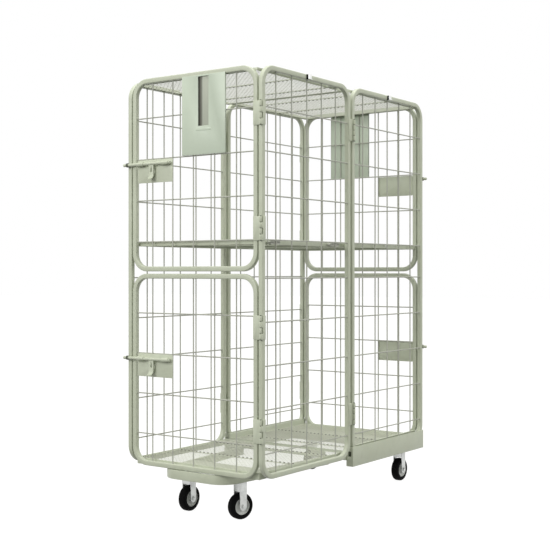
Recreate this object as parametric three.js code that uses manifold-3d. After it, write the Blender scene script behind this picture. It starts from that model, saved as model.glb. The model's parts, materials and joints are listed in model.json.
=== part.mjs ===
// Roll cage container on four swivel casters, with fold-out left panels, split end gates,
// a mid shelf and a top cover, both in two halves.
// Millimetres. X runs along the cage, Y across it, Z up. The origin is on the ground under the middle.
import * as THREE from 'three';
import { mergeVertices } from 'three/addons/utils/BufferGeometryUtils.js';
import Module from 'manifold-3d';

const wasm = await Module();
wasm.setup();

// Main sizes
const cageTop = 1700;
const cornerSpacingLong = 1204;
const cornerSpacingWide = 642;
const middlePostSpacing = 32;
const panelBottom = 187;
const tubeSize = 19;
const tubeBend = 62;
const wireDiameter = 5;
const wireWeld = 1;
const weldGap = 0.3;
const weldLap = 0.3;
const runningGap = 0.4;
const sheetWall = 2.5;
const cutOverrun = 6;
const hingeInset = 179.5;

// Places that several pieces follow
const cornerX = cornerSpacingLong / 2;
const cornerY = cornerSpacingWide / 2;
const halfTube = tubeSize / 2;
const middlePostX = middlePostSpacing / 2;
const panelWidth = cornerX - middlePostX;
const panelCentreX = (cornerX + middlePostX) / 2;
const wireRadius = wireDiameter / 2;
const wireLayer = wireRadius - wireWeld / 2;
const wireFace = wireLayer + wireRadius;
const innerY = cornerY - halfTube;
const outerY = cornerY + halfTube;
const innerX = cornerX - halfTube;
const outerX = cornerX + halfTube;

// End gates
const gate = { sideGap: 4.5, splitTop: 937, splitGap: 9 };
const gateHalf = cornerY - tubeSize - gate.sideGap;

// Wires of the side panels and of the gates
const wireInset = { panel: 89, gate: 91.1, low: 94, split: 16, high: 154, gateLow: 124, gateHigh: 154.1 };
const shelfRow = 1061.5;
const drop = {
  shelf: 16.5,
  cover: 26,
  holder: 14,
  upperLatch: 318.5,
  lowerLatch: 312,
  upperBolt: 16.5,
  lowerBolt: 20,
};
const panelWires = evenly(wireInset.panel - panelWidth / 2, panelWidth / 2 - wireInset.panel, 5);
const gateWires = evenly(wireInset.gate - gateHalf, gateHalf - wireInset.gate, 5);
const lowRows = evenly(panelBottom + wireInset.low, gate.splitTop - wireInset.split, 5);
const highRows = evenly(shelfRow, cageTop - wireInset.high, 4);
const lowGateRows = evenly(panelBottom + wireInset.gateLow, gate.splitTop - wireInset.gateHigh, 4);
const hinge = {
  barrelRadius: 5.2,
  pinRadius: 2.5,
  height: 88,
  faceGap: 0.5,
  sideOffset: 5,
  leafThick: 2.5,
  leafEdge: 2,
  leafStart: 6.5,
  sides: 6,
};
const hingeAxisOut = halfTube + hinge.faceGap + hinge.barrelRadius;
const splitHingeInset = { upper: 156.5, lower: 194 };
const upperHingeHeights = {
  top: cageTop - hingeInset,
  bottom: gate.splitTop + gate.splitGap + splitHingeInset.upper,
};
const lowerHingeHeights = { top: gate.splitTop - splitHingeInset.lower, bottom: panelBottom + hingeInset };

// Fold hinges between the left and right panels
const fold = { offsetX: 10, topHeight: cageTop - hingeInset, bottomHeight: panelBottom + hingeInset };

// Latch plates and sliding bolts
const latch = {
  width: 181,
  height: 90,
  thick: 2,
  inset: 16.5,
};
const latchNear = gateHalf - latch.inset - latch.width;
const upperLatchTop = cageTop - drop.upperLatch;
const lowerLatchTop = gate.splitTop - drop.lowerLatch;
const bolt = {
  radius: 6,
  tailInset: 5,
  tipPastPost: 14.5,
  collarRadius: 8.2,
  collarLength: 9,
  collarFromTip: 26,
  handleInset: 100,
  handleRadius: 3.6,
  handleDrop: 57,
  handleCurl: 9,
  handleSteps: 6,
  sides: 8,
};
const guide = { wall: 2.2, length: 36, firstInset: 12, secondInset: 139, footWidth: 9 };

// Document holder on each upper gate
const holder = {
  width: 209,
  centreFromMiddle: 55.3,
  height: 299.5,
  top: cageTop - drop.holder,
  wall: 1.5,
  slotWidth: 50,
  slotCentre: 0.5,
  slotDrop: 6,
  slotHeight: 186,
  returnTopGap: 2,
};

// Base
const tongueInset = { left: 161, middle: 99 };
const tonguePast = 12;
const deckHingeInset = 149;
const base = {
  bottom: 150,
  beamTop: 230,
  beamDepth: 32,
  beamStart: 5.7,
  endSlotWidth: 14,
  endSlotBottom: 190,
  endSlotTop: 211,
  crossTop: 185.5,
  crossStart: -2,
  crossWidth: 40,
  endCrossWidth: 123,
  tongueHalf: cornerY - tongueInset.left,
  tongueMiddleHalf: cornerY - tongueInset.middle,
  tongueReach: cornerX + tonguePast,
  tongueBend: 80,
  tongueFlange: 10,
  casterPlateHalf: 50,
  bendSteps: 6,
  flangeWidth: 7.4,
  gateRoom: 1.2,
};
const deck = {
  height: 26,
  wall: 3,
  sheet: 2,
  sheetDrop: 3,
  ribWidth: 20,
  ribHeight: 12,
  ribCount: 3,
  endGap: 2.5,
  sideGap: 0.8,
  middleGap: 8,
};
const shelf = {
  bottom: shelfRow - drop.shelf,
  height: 15.5,
  wall: 2.5,
  sheet: 1.6,
  sheetDrop: 2.5,
  ribWidth: 16,
  ribHeight: 8,
  ribCount: 2,
  endGap: 2.5,
  axisFromPanel: 8.5,
  freeGap: 8.5,
  middleGap: 4,
};
const cover = {
  bottom: cageTop - drop.cover,
  height: 17,
  wall: 2.5,
  sheet: 1.6,
  sheetDrop: 2,
  ribWidth: 16,
  ribHeight: 10,
  ribCount: 2,
  endGap: 2.5,
  axisFromPanel: 12.5,
  freeGap: 6.5,
  middleGap: 4,
};
const flap = { barrel: 60, edgeGap: 8, leafHeight: 14 };

// Casters
const caster = {
  wheelRadius: 50,
  wheelWidth: 34,
  tyreShoulder: 9,
  rimRadius: 32,
  hubRecess: 8,
  hubBoss: 11,
  axleRadius: 5,
  nutRadius: 8.5,
  nutHeight: 6,
  trail: 25,
  legWidth: 31,
  legThick: 3,
  legGap: 2.6,
  forkTop: 149.3,
  plateThick: 3.8,
  webBottom: 106,
  raceRadius: 26,
  raceHeight: 8,
  kingpinRadius: 6,
  plateLong: 80,
  plateWide: 70,
  sides: 20,
  smallSides: 8,
  nutSides: 6,
};
const casterInset = { leftLong: 165, leftWide: 29, rightLong: 68, rightWide: 82 };
const leftCaster = {
  x: casterInset.leftLong - base.tongueReach,
  y: base.tongueHalf - casterInset.leftWide,
  frontTurn: -19,
  backTurn: 0,
};
const rightCaster = { x: cornerX - casterInset.rightLong, y: cornerY - casterInset.rightWide, turn: 180 };

// Small pieces
const ring = { width: 18, height: 14, wire: 3, steps: 6, sides: 6 };
const clip = { width: 30, thick: 2, innerLeg: 13, outerLeg: 17, lipOut: 7 };

// Finishes
const paint = new THREE.MeshStandardMaterial({ color: 0xc3c8b4, roughness: 0.5, metalness: 0.1 });
const zinc = new THREE.MeshStandardMaterial({ color: 0xb9bdbb, roughness: 0.35, metalness: 0.9 });
const rubber = new THREE.MeshStandardMaterial({ color: 0x111211, roughness: 0.75, metalness: 0 });
const hubGrey = new THREE.MeshStandardMaterial({ color: 0xa9adac, roughness: 0.45, metalness: 0.4 });

// Solid helpers
function toSolid(geometry) {
  const bare = geometry.index ? geometry.toNonIndexed() : geometry.clone();
  bare.deleteAttribute('normal');
  bare.deleteAttribute('uv');
  const merged = mergeVertices(bare);
  const vertProperties = merged.attributes.position.array;
  const triVerts = new Uint32Array(merged.index.array);
  return new wasm.Manifold(new wasm.Mesh({ numProp: 3, vertProperties, triVerts }));
}

function fromSolid(solid) {
  const mesh = solid.getMesh();
  const geometry = new THREE.BufferGeometry();
  geometry.setAttribute('position', new THREE.BufferAttribute(new Float32Array(mesh.vertProperties), 3));
  geometry.setIndex(new THREE.BufferAttribute(new Uint32Array(mesh.triVerts), 1));
  return geometry;
}

function join(geometries) {
  return fromSolid(geometries.map(toSolid).reduce((whole, next) => whole.add(next)));
}

function cut(geometry, cutters) {
  return fromSolid(cutters.map(toSolid).reduce((whole, next) => whole.subtract(next), toSolid(geometry)));
}

function overlap(one, other) {
  return fromSolid(toSolid(one).intersect(toSolid(other)));
}

function block(x0, x1, y0, y1, z0, z1) {
  const geometry = new THREE.BoxGeometry(x1 - x0, y1 - y0, z1 - z0);
  geometry.translate((x0 + x1) / 2, (y0 + y1) / 2, (z0 + z1) / 2);
  return geometry;
}

function rodX(x0, x1, y, z, radius, sides) {
  const geometry = new THREE.CylinderGeometry(radius, radius, x1 - x0, sides);
  geometry.rotateZ(Math.PI / 2);
  geometry.translate((x0 + x1) / 2, y, z);
  return geometry;
}

function rodY(y0, y1, x, z, radius, sides) {
  const geometry = new THREE.CylinderGeometry(radius, radius, y1 - y0, sides);
  geometry.translate(x, (y0 + y1) / 2, z);
  return geometry;
}

function rodZ(z0, z1, x, y, radius, sides) {
  const geometry = new THREE.CylinderGeometry(radius, radius, z1 - z0, sides);
  geometry.rotateX(Math.PI / 2);
  geometry.translate(x, y, (z0 + z1) / 2);
  return geometry;
}

// A faceted bore's corner radius, so that its flats clear a turning pin
function boreFor(radius, sides) {
  return (radius + runningGap) / Math.cos(Math.PI / sides);
}

// A ring about a vertical axis, from its wall's cross section
function ringZ(z0, z1, inner, outer, sides) {
  const wall = [
    new THREE.Vector2(inner, z0),
    new THREE.Vector2(outer, z0),
    new THREE.Vector2(outer, z1),
    new THREE.Vector2(inner, z1),
    new THREE.Vector2(inner, z0),
  ];
  const geometry = new THREE.LatheGeometry(wall, sides);
  geometry.rotateX(Math.PI / 2);
  return geometry;
}

function meshOf(name, geometry, material) {
  const mesh = new THREE.Mesh(geometry, material);
  mesh.name = name;
  return mesh;
}

// A closed loop of square tube in the XZ plane, with rounded corners
function tubeLoop(halfWidth, low, high) {
  const cornerSteps = 5;
  const section = [
    [halfTube, -halfTube],
    [halfTube, halfTube],
    [-halfTube, halfTube],
    [-halfTube, -halfTube],
  ];
  const corners = [
    [halfWidth - tubeBend, high - tubeBend],
    [tubeBend - halfWidth, high - tubeBend],
    [tubeBend - halfWidth, low + tubeBend],
    [halfWidth - tubeBend, low + tubeBend],
  ];
  const positions = [];
  corners.forEach(([x, z], quarter) => {
    for (let step = 0; step <= cornerSteps; step += 1) {
      const angle = (quarter + step / cornerSteps) * Math.PI / 2;
      for (const [outward, across] of section) {
        const reach = tubeBend + outward;
        positions.push(x + reach * Math.cos(angle), across, z + reach * Math.sin(angle));
      }
    }
  });
  const sides = section.length;
  const rings = positions.length / sides / 3;
  const index = [];
  for (let row = 0; row < rings; row += 1) {
    const next = (row + 1) % rings;
    for (let side = 0; side < sides; side += 1) {
      const other = (side + 1) % sides;
      index.push(row * sides + side, row * sides + other, next * sides + other);
      index.push(row * sides + side, next * sides + other, next * sides + side);
    }
  }
  const geometry = new THREE.BufferGeometry();
  geometry.setAttribute('position', new THREE.BufferAttribute(new Float32Array(positions), 3));
  geometry.setIndex(index);
  return geometry;
}

function evenly(first, last, count) {
  return Array.from({ length: count }, (_, place) => first + place * (last - first) / (count - 1));
}

// Crossing wires inside a loop: outward is -Y, and the outer layer is the rows or the uprights
function wireGrid(halfWidth, low, high, uprights, heights, uprightsOutside) {
  const outerLayer = -wireLayer;
  const rowY = uprightsOutside ? -outerLayer : outerLayer;
  const reachX = halfWidth - halfTube - weldGap;
  const wireSides = 4;
  const wires = heights.map((height) => rodX(-reachX, reachX, rowY, height, wireRadius, wireSides));
  for (const x of uprights) {
    wires.push(rodZ(low + halfTube + weldGap, high - halfTube - weldGap, x, -rowY, wireRadius, wireSides));
  }
  return join(wires);
}

// Hinges. The pin stands at the local origin. The carrying post is towards +X, just behind the barrel.
function hingeBarrels() {
  const third = hinge.height / 3;
  const half = hinge.height / 2;
  const lower = rodZ(-half, -third / 2 - runningGap, 0, 0, hinge.barrelRadius, hinge.sides);
  const upper = rodZ(third / 2 + runningGap, half, 0, 0, hinge.barrelRadius, hinge.sides);
  const pinReach = third / 2 + 2 * runningGap;
  const pin = rodZ(-pinReach, pinReach, 0, 0, hinge.pinRadius, hinge.sides);
  const bore = boreFor(hinge.pinRadius, hinge.sides);
  const moving = ringZ(-third / 2, third / 2, bore, hinge.barrelRadius, hinge.sides);
  return { fixed: [lower, upper, pin], moving, half, third };
}

// On a corner post: the fixed leaf wraps the post's side face, the moving one lies across the gate post
function gateHingeFixed() {
  const { fixed, half, third } = hingeBarrels();
  const postNear = hinge.barrelRadius + hinge.faceGap;
  const sideFace = hinge.sideOffset - halfTube;
  const inner = sideFace + weldLap;
  const outer = sideFace - hinge.leafThick;
  const leafEnd = postNear + tubeSize - hinge.leafEdge;
  const leaf = block(hinge.leafStart, leafEnd, outer, inner, -half, half);
  const tabStart = -hinge.leafThick / 2;
  const tabEnd = hinge.leafStart + weldLap;
  const lowTab = block(tabStart, tabEnd, outer, inner, -half, -third / 2 - runningGap);
  const highTab = block(tabStart, tabEnd, outer, inner, third / 2 + runningGap, half);
  return join([...fixed, leaf, lowTab, highTab]);
}

function gateHingeMoving() {
  const { moving, half, third } = hingeBarrels();
  const back = hinge.barrelRadius + hinge.faceGap - weldGap;
  const front = back - hinge.leafThick;
  const gatePostFar = hinge.sideOffset + halfTube + gate.sideGap + tubeSize;
  const leaf = block(front, back, hinge.leafStart, gatePostFar - hinge.leafEdge, -half, half);
  const tab = block(front, back, hinge.pinRadius, hinge.leafStart + weldLap, -third / 2, third / 2);
  const gatePostNear = gatePostFar - tubeSize;
  const weldStart = gatePostNear + hinge.leafEdge;
  const weldEnd = gatePostFar - hinge.leafEdge;
  const weld = block(front, back + weldGap + weldLap, weldStart, weldEnd, -half, half);
  return join([moving, leaf, tab, weld]);
}

// Between the middle posts: both leaves lie on the outer faces of their posts
function foldLeaf(reach, barrels, tabs) {
  const face = hinge.barrelRadius + hinge.faceGap;
  const front = face - hinge.leafThick;
  const tabBack = face - weldGap;
  const half = hinge.height / 2;
  const leaf = block(hinge.leafStart, reach, front, face + weldLap, -half, half);
  const tabEnd = hinge.leafStart + weldLap;
  const parts = tabs.map(([low, high]) => block(hinge.pinRadius, tabEnd, front, tabBack, low, high));
  return join([...barrels, leaf, ...parts]);
}

function foldHingeFixed() {
  const { fixed, half, third } = hingeBarrels();
  const reach = middlePostX + halfTube - fold.offsetX - hinge.leafEdge;
  return foldLeaf(reach, fixed, [[-half, -third / 2 - runningGap], [third / 2 + runningGap, half]]);
}

function foldHingeMoving() {
  const { moving, third } = hingeBarrels();
  const reach = middlePostX + halfTube + fold.offsetX - hinge.leafEdge;
  const leaf = foldLeaf(reach, [moving], [[-third / 2, third / 2]]);
  const mirrored = toSolid(leaf).mirror([1, 0, 0]);
  return fromSolid(mirrored);
}

// A sliding bolt: X runs across the gate, the tip points to -X and the handle hangs down
function boltShape(height) {
  const y = -halfTube - runningGap - bolt.radius - guide.wall;
  const tail = -latchNear - bolt.tailInset;
  const handleX = -latchNear - bolt.handleInset;
  const tip = -outerY - bolt.tipPastPost;
  const rod = rodX(tip, tail, y, height, bolt.radius, bolt.sides);
  const collarEnd = tip + bolt.collarFromTip;
  const collarStart = collarEnd - bolt.collarLength;
  const collar = rodX(collarStart, collarEnd, y - weldGap, height, bolt.collarRadius - weldGap, bolt.sides);
  const bottom = height - bolt.handleDrop + bolt.handleCurl;
  const handle = rodZ(bottom, height, handleX, y, bolt.handleRadius, bolt.sides);
  const hook = [];
  for (let step = 0; step <= bolt.handleSteps; step += 1) {
    const angle = Math.PI * step / bolt.handleSteps;
    const across = y - bolt.handleCurl * (1 - Math.cos(angle));
    const down = bottom - bolt.handleCurl * Math.sin(angle);
    hook.push(new THREE.Vector3(handleX, across, down));
  }
  const curl = sweptRod(hook, bolt.handleRadius, bolt.sides);
  return join([rod, collar, handle, curl]);
}

// A round rod through points that lie in one plane across X
function sweptRod(points, radius, sides) {
  const positions = [];
  const last = points.length - 1;
  points.forEach((point, step) => {
    const before = points[Math.max(step - 1, 0)];
    const after = points[Math.min(step + 1, last)];
    const along = after.clone().sub(before).normalize();
    const across = new THREE.Vector3(1, 0, 0);
    const up = along.clone().cross(across).normalize();
    for (let side = 0; side < sides; side += 1) {
      const angle = 2 * Math.PI * side / sides;
      const spot = point.clone();
      spot.addScaledVector(across, radius * Math.cos(angle));
      spot.addScaledVector(up, radius * Math.sin(angle));
      positions.push(spot.x, spot.y, spot.z);
    }
  });
  const index = [];
  for (let step = 0; step < last; step += 1) {
    for (let side = 0; side < sides; side += 1) {
      const other = (side + 1) % sides;
      const here = step * sides;
      const next = here + sides;
      index.push(here + side, here + other, next + other);
      index.push(here + side, next + other, next + side);
    }
  }
  for (let side = 1; side < sides - 1; side += 1) {
    const end = last * sides;
    index.push(0, side + 1, side);
    index.push(end, end + side, end + side + 1);
  }
  const geometry = new THREE.BufferGeometry();
  geometry.setAttribute('position', new THREE.BufferAttribute(new Float32Array(positions), 3));
  geometry.setIndex(index);
  return geometry;
}

// The latch plate lies on the gate's outer wires and carries two guide tubes for the bolt
function latchPlate(plateTop, boltHeight) {
  const back = -wireFace - weldGap;
  const front = back - latch.thick;
  const plate = block(-latchNear - latch.width, -latchNear, front, back, plateTop - latch.height, plateTop);
  const axisY = -halfTube - runningGap - bolt.radius - guide.wall;
  const inner = bolt.radius + runningGap;
  const outer = inner + guide.wall;
  const pieces = [plate];
  for (const inset of [guide.firstInset, guide.secondInset]) {
    const start = latchNear + inset;
    const tube = ringZ(-guide.length / 2, guide.length / 2, inner, outer, bolt.sides);
    tube.rotateY(Math.PI / 2);
    tube.translate(-start - guide.length / 2, axisY, boltHeight);
    const footTop = axisY + (inner + outer) / 2;
    const low = boltHeight - guide.footWidth / 2;
    const high = boltHeight + guide.footWidth / 2;
    const footBack = front + latch.thick / 2;
    pieces.push(tube);
    pieces.push(block(-start - guide.length, -start, footTop, footBack, low, high));
  }
  return join(pieces);
}

// A shallow pocket with a slot in its front, hung on the outer wires below and in front of the top tube
function documentHolder() {
  const back = -halfTube - weldGap;
  const front = back - holder.wall;
  const wireSide = -wireFace - weldGap;
  const left = holder.centreFromMiddle - holder.width / 2;
  const right = holder.centreFromMiddle + holder.width / 2;
  const bottom = holder.top - holder.height;
  const tubeUnder = cageTop - tubeSize - holder.returnTopGap;
  const face = block(left, right, front, back, bottom, holder.top);
  const rear = block(left, right, wireSide - holder.wall, wireSide, bottom, tubeUnder);
  const leftReturn = block(left, left + holder.wall, front, wireSide, bottom, tubeUnder);
  const rightReturn = block(right - holder.wall, right, front, wireSide, bottom, tubeUnder);
  const floor = block(left, right, front, wireSide, bottom, bottom + holder.wall);
  const slotMiddle = holder.centreFromMiddle + holder.slotCentre;
  const slotLeft = slotMiddle - holder.slotWidth / 2;
  const slotRight = slotMiddle + holder.slotWidth / 2;
  const slotFront = front - cutOverrun;
  const slotBack = back + weldGap;
  const slotTop = holder.top - holder.slotDrop;
  const slot = block(slotLeft, slotRight, slotFront, slotBack, slotTop - holder.slotHeight, slotTop);
  return cut(join([face, rear, leftReturn, rightReturn, floor]), [slot]);
}

// One gate in its own frame: outward is -Y, the hinges are at +X and the latch at -X
function gateLeaf(name, low, high, heights, hingeHeights, latchTop, boltHeight, hasHolder) {
  const leaf = new THREE.Group();
  const bottom = low + halfTube;
  const top = high - halfTube;
  const leaves = hingeHeights.map((height) => placeGateHinge(gateHingeMoving(), height));
  leaf.add(meshOf(`${name}_frame`, join([tubeLoop(gateHalf, bottom, top), ...leaves]), paint));
  leaf.add(meshOf(`${name}_wires`, wireGrid(gateHalf, bottom, top, gateWires, heights, true), paint));
  leaf.add(meshOf(`${name}_latch_plate`, latchPlate(latchTop, boltHeight), paint));
  leaf.add(meshOf(`${name}_bolt`, boltShape(boltHeight), paint));
  if (hasHolder) {
    leaf.add(meshOf(`${name}_document_holder`, documentHolder(), paint));
  }
  return leaf;
}

// Turns a hinge so that its carrying post lies behind it and the gate runs towards -X
function placeGateHinge(geometry, height) {
  geometry.rotateZ(Math.PI / 2);
  geometry.translate(cornerY + hinge.sideOffset, -hingeAxisOut, height);
  return geometry;
}

function gateEnd(name) {
  const end = new THREE.Group();
  const upperHinges = [upperHingeHeights.top, upperHingeHeights.bottom];
  const lowerHinges = [lowerHingeHeights.top, lowerHingeHeights.bottom];
  const upperLow = gate.splitTop + gate.splitGap;
  end.add(gateLeaf(`${name}_upper_gate`, upperLow, cageTop, highRows, upperHinges,
    upperLatchTop, upperLatchTop - drop.upperBolt, true));
  end.add(gateLeaf(`${name}_lower_gate`, panelBottom, gate.splitTop, lowGateRows, lowerHinges,
    lowerLatchTop, lowerLatchTop - drop.lowerBolt, false));
  end.position.set(-cornerX, 0, 0);
  end.rotation.z = -Math.PI / 2;
  return end;
}

// The corner post's halves of the gate hinges, in the row's own frame at the near end
function cornerHingeLeaves() {
  const heights = [...Object.values(upperHingeHeights), ...Object.values(lowerHingeHeights)];
  return heights.map((height) => {
    const leaf = placeGateHinge(gateHingeFixed(), height);
    leaf.rotateZ(-Math.PI / 2);
    leaf.translate(-cornerX, 0, 0);
    return leaf;
  });
}

function foldHinges(makeLeaf, side) {
  return [fold.topHeight, fold.bottomHeight].map((height) => {
    const leaf = makeLeaf();
    if (side > 0) {
      leaf.rotateX(Math.PI);
    }
    leaf.translate(fold.offsetX, side * (cornerY + hingeAxisOut), height);
    return leaf;
  });
}

// A flat panel with an edge frame, a sheet that stands for the mesh, and cross ribs under it
function framedSheet(size, x0, x1, y0, y1, bottom) {
  const top = bottom + size.height;
  const outer = block(x0, x1, y0, y1, bottom, top);
  const hole = block(x0 + size.wall, x1 - size.wall, y0 + size.wall, y1 - size.wall,
    bottom - cutOverrun, top + cutOverrun);
  const edge = cut(outer, [hole]);
  const lap = size.wall / 2;
  const sheetTop = top - size.sheetDrop;
  const sheetBottom = sheetTop - size.sheet;
  const pieces = [edge, block(x0 + lap, x1 - lap, y0 + lap, y1 - lap, sheetBottom, sheetTop)];
  const step = (x1 - x0) / (size.ribCount + 1);
  for (let rib = 1; rib <= size.ribCount; rib += 1) {
    const middle = x0 + rib * step;
    const ribTop = sheetBottom + size.sheet / 2;
    pieces.push(block(middle - size.ribWidth / 2, middle + size.ribWidth / 2, y0 + lap, y1 - lap,
      sheetBottom - size.ribHeight, ribTop));
  }
  return join(pieces);
}

// Hinge knuckles of a shelf, a cover or the deck flap, along X about the local origin.
// The flap lies towards +Y, and the fixed leaf stands at -Y.
function flapMoving(reach) {
  const third = flap.barrel / 3;
  const bore = boreFor(hinge.pinRadius, hinge.sides);
  const knuckle = ringZ(-third / 2, third / 2, bore, hinge.barrelRadius, hinge.sides);
  knuckle.rotateY(Math.PI / 2);
  const start = (hinge.pinRadius + hinge.barrelRadius) / 2;
  const tab = block(-third / 2, third / 2, start, reach, -hinge.leafThick / 2, hinge.leafThick / 2);
  return join([knuckle, tab]);
}

function flapFixed(reach, leafLow) {
  const third = flap.barrel / 3;
  const half = flap.barrel / 2;
  const inner = third / 2 + runningGap;
  const left = rodX(-half, -inner, 0, 0, hinge.barrelRadius, hinge.sides);
  const right = rodX(inner, half, 0, 0, hinge.barrelRadius, hinge.sides);
  const pin = rodX(-inner - runningGap, inner + runningGap, 0, 0, hinge.pinRadius, hinge.sides);
  const start = (hinge.pinRadius + hinge.barrelRadius) / 2;
  const thin = hinge.leafThick / 2;
  const leftTab = block(-half, -inner, -reach, -start, -thin, thin);
  const rightTab = block(inner, half, -reach, -start, -thin, thin);
  const leafTop = leafLow + flap.leafHeight;
  const leaf = block(-half, half, -reach, -reach + hinge.leafThick, leafLow, leafTop);
  return join([left, right, pin, leftTab, rightTab, leaf]);
}

// A shelf or cover half on the near side: hinged along -Y, with its frame towards +Y
function hingedFlap(size, x0, x1) {
  const axisY = size.axisFromPanel - innerY;
  const axisZ = size.bottom + size.height / 2;
  const nearY = axisY + flap.edgeGap;
  const farY = innerY - size.freeGap;
  const pieces = [framedSheet(size, x0, x1, nearY, farY, size.bottom)];
  for (const middle of flapHingePlaces()) {
    const knuckle = flapMoving(flap.edgeGap + size.wall / 2);
    knuckle.translate(middle, axisY, axisZ);
    pieces.push(knuckle);
  }
  return join(pieces);
}

// A shelf or cover half turns on two hinges that stand at its panel's outermost uprights
function flapHingePlaces() {
  const reach = panelWires.at(-1);
  return [-panelCentreX - reach, -panelCentreX + reach];
}

function flapLeaves(size, backY, leafLow) {
  const axisY = size.axisFromPanel - innerY;
  const axisZ = size.bottom + size.height / 2;
  return flapHingePlaces().map((middle) => {
    const leaf = flapFixed(axisY - backY, leafLow);
    leaf.translate(middle, axisY, axisZ);
    return leaf;
  });
}

// Left half of the cage between the gates and the middle
function leftSpan(size) {
  return [size.endGap - innerX, -size.middleGap];
}

// Leaves on the uprights of the near left panel for its shelf half
function shelfLeaves() {
  const wireInside = wireFace - wireWeld - cornerY;
  return flapLeaves(shelf, wireInside, -flap.leafHeight / 2);
}

// Leaves on the inner face of its top tube for the cover half
function coverLeaves() {
  const axisZ = cover.bottom + cover.height / 2;
  return flapLeaves(cover, -innerY - weldLap, cageTop - tubeSize - axisZ);
}

// Side panels, built about their own middle with the outside towards -Y. Leaves come in the row's frame.
function sidePanel(name, x, side, frameLeaves, wireLeaves) {
  const low = panelBottom + halfTube;
  const high = cageTop - halfTube;
  const half = panelWidth / 2;
  const heights = [...lowRows, ...highRows];
  const toPanel = (leaf) => {
    leaf.translate(-x, -side * cornerY, 0);
    return leaf.rotateZ(side > 0 ? Math.PI : 0);
  };
  const frame = join([tubeLoop(half, low, high), ...frameLeaves.map(toPanel)]);
  const wires = join([wireGrid(half, low, high, panelWires, heights, false), ...wireLeaves.map(toPanel)]);
  const panel = new THREE.Group();
  panel.add(meshOf(`${name}_frame`, frame, paint));
  panel.add(meshOf(`${name}_wires`, wires, paint));
  panel.position.set(x, side * cornerY, 0);
  panel.rotation.z = side > 0 ? Math.PI : 0;
  return panel;
}

function turnAround(leaves) {
  return leaves.map((leaf) => leaf.rotateZ(Math.PI));
}

// Base
function sideBeam() {
  const outerFace = -outerY - weldGap - sheetWall;
  const innerFace = outerFace + base.beamDepth;
  const x1 = outerX;
  const x0 = base.beamStart;
  const shell = block(x0, x1, outerFace, innerFace, base.bottom, base.beamTop);
  const wallGap = sheetWall;
  const hollow = block(x0 + wallGap, x1 - wallGap, outerFace + wallGap, innerFace - wallGap,
    base.bottom + wallGap, base.beamTop + cutOverrun);
  const gateRoom = -cornerY + halfTube + gate.sideGap - base.gateRoom;
  const gateNotch = block(innerX - base.gateRoom, x1 + cutOverrun, gateRoom, innerFace + cutOverrun,
    base.crossTop - sheetWall, base.beamTop + cutOverrun);
  const slotMiddle = (outerFace + innerFace) / 2;
  const slotHalf = base.endSlotWidth / 2;
  const endSlot = block(x0 - cutOverrun, x0 + cutOverrun, slotMiddle - slotHalf, slotMiddle + slotHalf,
    base.endSlotBottom, base.endSlotTop);
  const flangeInner = innerFace - wallGap / 2;
  const flangeOuter = innerFace - wallGap - base.flangeWidth;
  const flange = block(x0 + wallGap / 2, innerX - base.gateRoom, flangeOuter, flangeInner,
    base.beamTop - wallGap, base.beamTop);
  return join([cut(shell, [hollow, gateNotch, endSlot]), flange]);
}

// A cross-member folded down along both long edges
function crossMember(x0, x1) {
  const reach = outerY + weldGap + sheetWall - base.beamDepth + sheetWall / 2;
  const solid = block(x0, x1, -reach, reach, base.bottom, base.crossTop);
  const hollow = block(x0 + sheetWall, x1 - sheetWall, -reach - cutOverrun, reach + cutOverrun,
    base.bottom - cutOverrun, base.crossTop - sheetWall);
  return cut(solid, [hollow]);
}

function baseFrame() {
  const front = sideBeam();
  const back = fromSolid(toSolid(sideBeam()).mirror([0, 1, 0]));
  const middle = crossMember(base.crossStart, base.crossStart + base.crossWidth);
  const end = crossMember(outerX - base.endCrossWidth, outerX);
  return join([front, back, middle, end, ...deckLeaves()]);
}

// The plan outline of the tongue: flanks that spread towards the middle, and two rounded left corners
function tongueOutline(inset, right) {
  const length = base.tongueReach + base.crossStart;
  const spread = Math.atan2(base.tongueMiddleHalf - base.tongueHalf, length);
  const flankAt = (x) => base.tongueHalf + (x + base.tongueReach) * Math.tan(spread) - inset / Math.cos(spread);
  const bend = base.tongueBend - inset;
  const centreX = base.tongueBend - base.tongueReach;
  const centreY = flankAt(centreX) - bend / Math.cos(spread);
  const outline = new THREE.Shape();
  outline.moveTo(right, -flankAt(right));
  outline.lineTo(right, flankAt(right));
  outline.absarc(centreX, centreY, bend, Math.PI / 2 + spread, Math.PI, false);
  outline.absarc(centreX, -centreY, bend, Math.PI, 3 * Math.PI / 2 - spread, false);
  outline.closePath();
  return outline;
}

function tongueSlab(inset, right, bottom, top) {
  const options = { depth: top - bottom, bevelEnabled: false, curveSegments: base.bendSteps };
  const slab = new THREE.ExtrudeGeometry(tongueOutline(inset, right), options);
  slab.translate(0, 0, bottom);
  return slab;
}

// A bent channel with narrow flanges, open towards the middle, and the plate that both left casters hang from
function tongue() {
  const right = base.crossStart - weldGap;
  const past = right + cutOverrun;
  const body = tongueSlab(0, right, base.bottom, base.crossTop);
  const hollow = tongueSlab(sheetWall, past, base.bottom + sheetWall, base.crossTop - sheetWall);
  const opening = tongueSlab(base.tongueFlange, past, base.bottom - cutOverrun, base.crossTop + cutOverrun);
  const sheet = tongueSlab(sheetWall / 2, right, base.crossTop - sheetWall, base.crossTop);
  const stripStart = leftCaster.x - base.casterPlateHalf;
  const stripEnd = leftCaster.x + base.casterPlateHalf;
  const strip = block(stripStart, stripEnd, -cornerY, cornerY, base.bottom, base.beamTop);
  return join([cut(body, [hollow, opening]), overlap(sheet, strip)]);
}

function deckHalf(x0, x1) {
  const halfWidth = outerY + weldGap + sheetWall - base.beamDepth - deck.sideGap;
  return framedSheet(deck, x0, x1, -halfWidth, halfWidth, base.crossTop + weldGap);
}

const deckAxis = { x: -deck.middleGap, z: base.crossTop + weldGap + deck.height / 2 };

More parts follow.
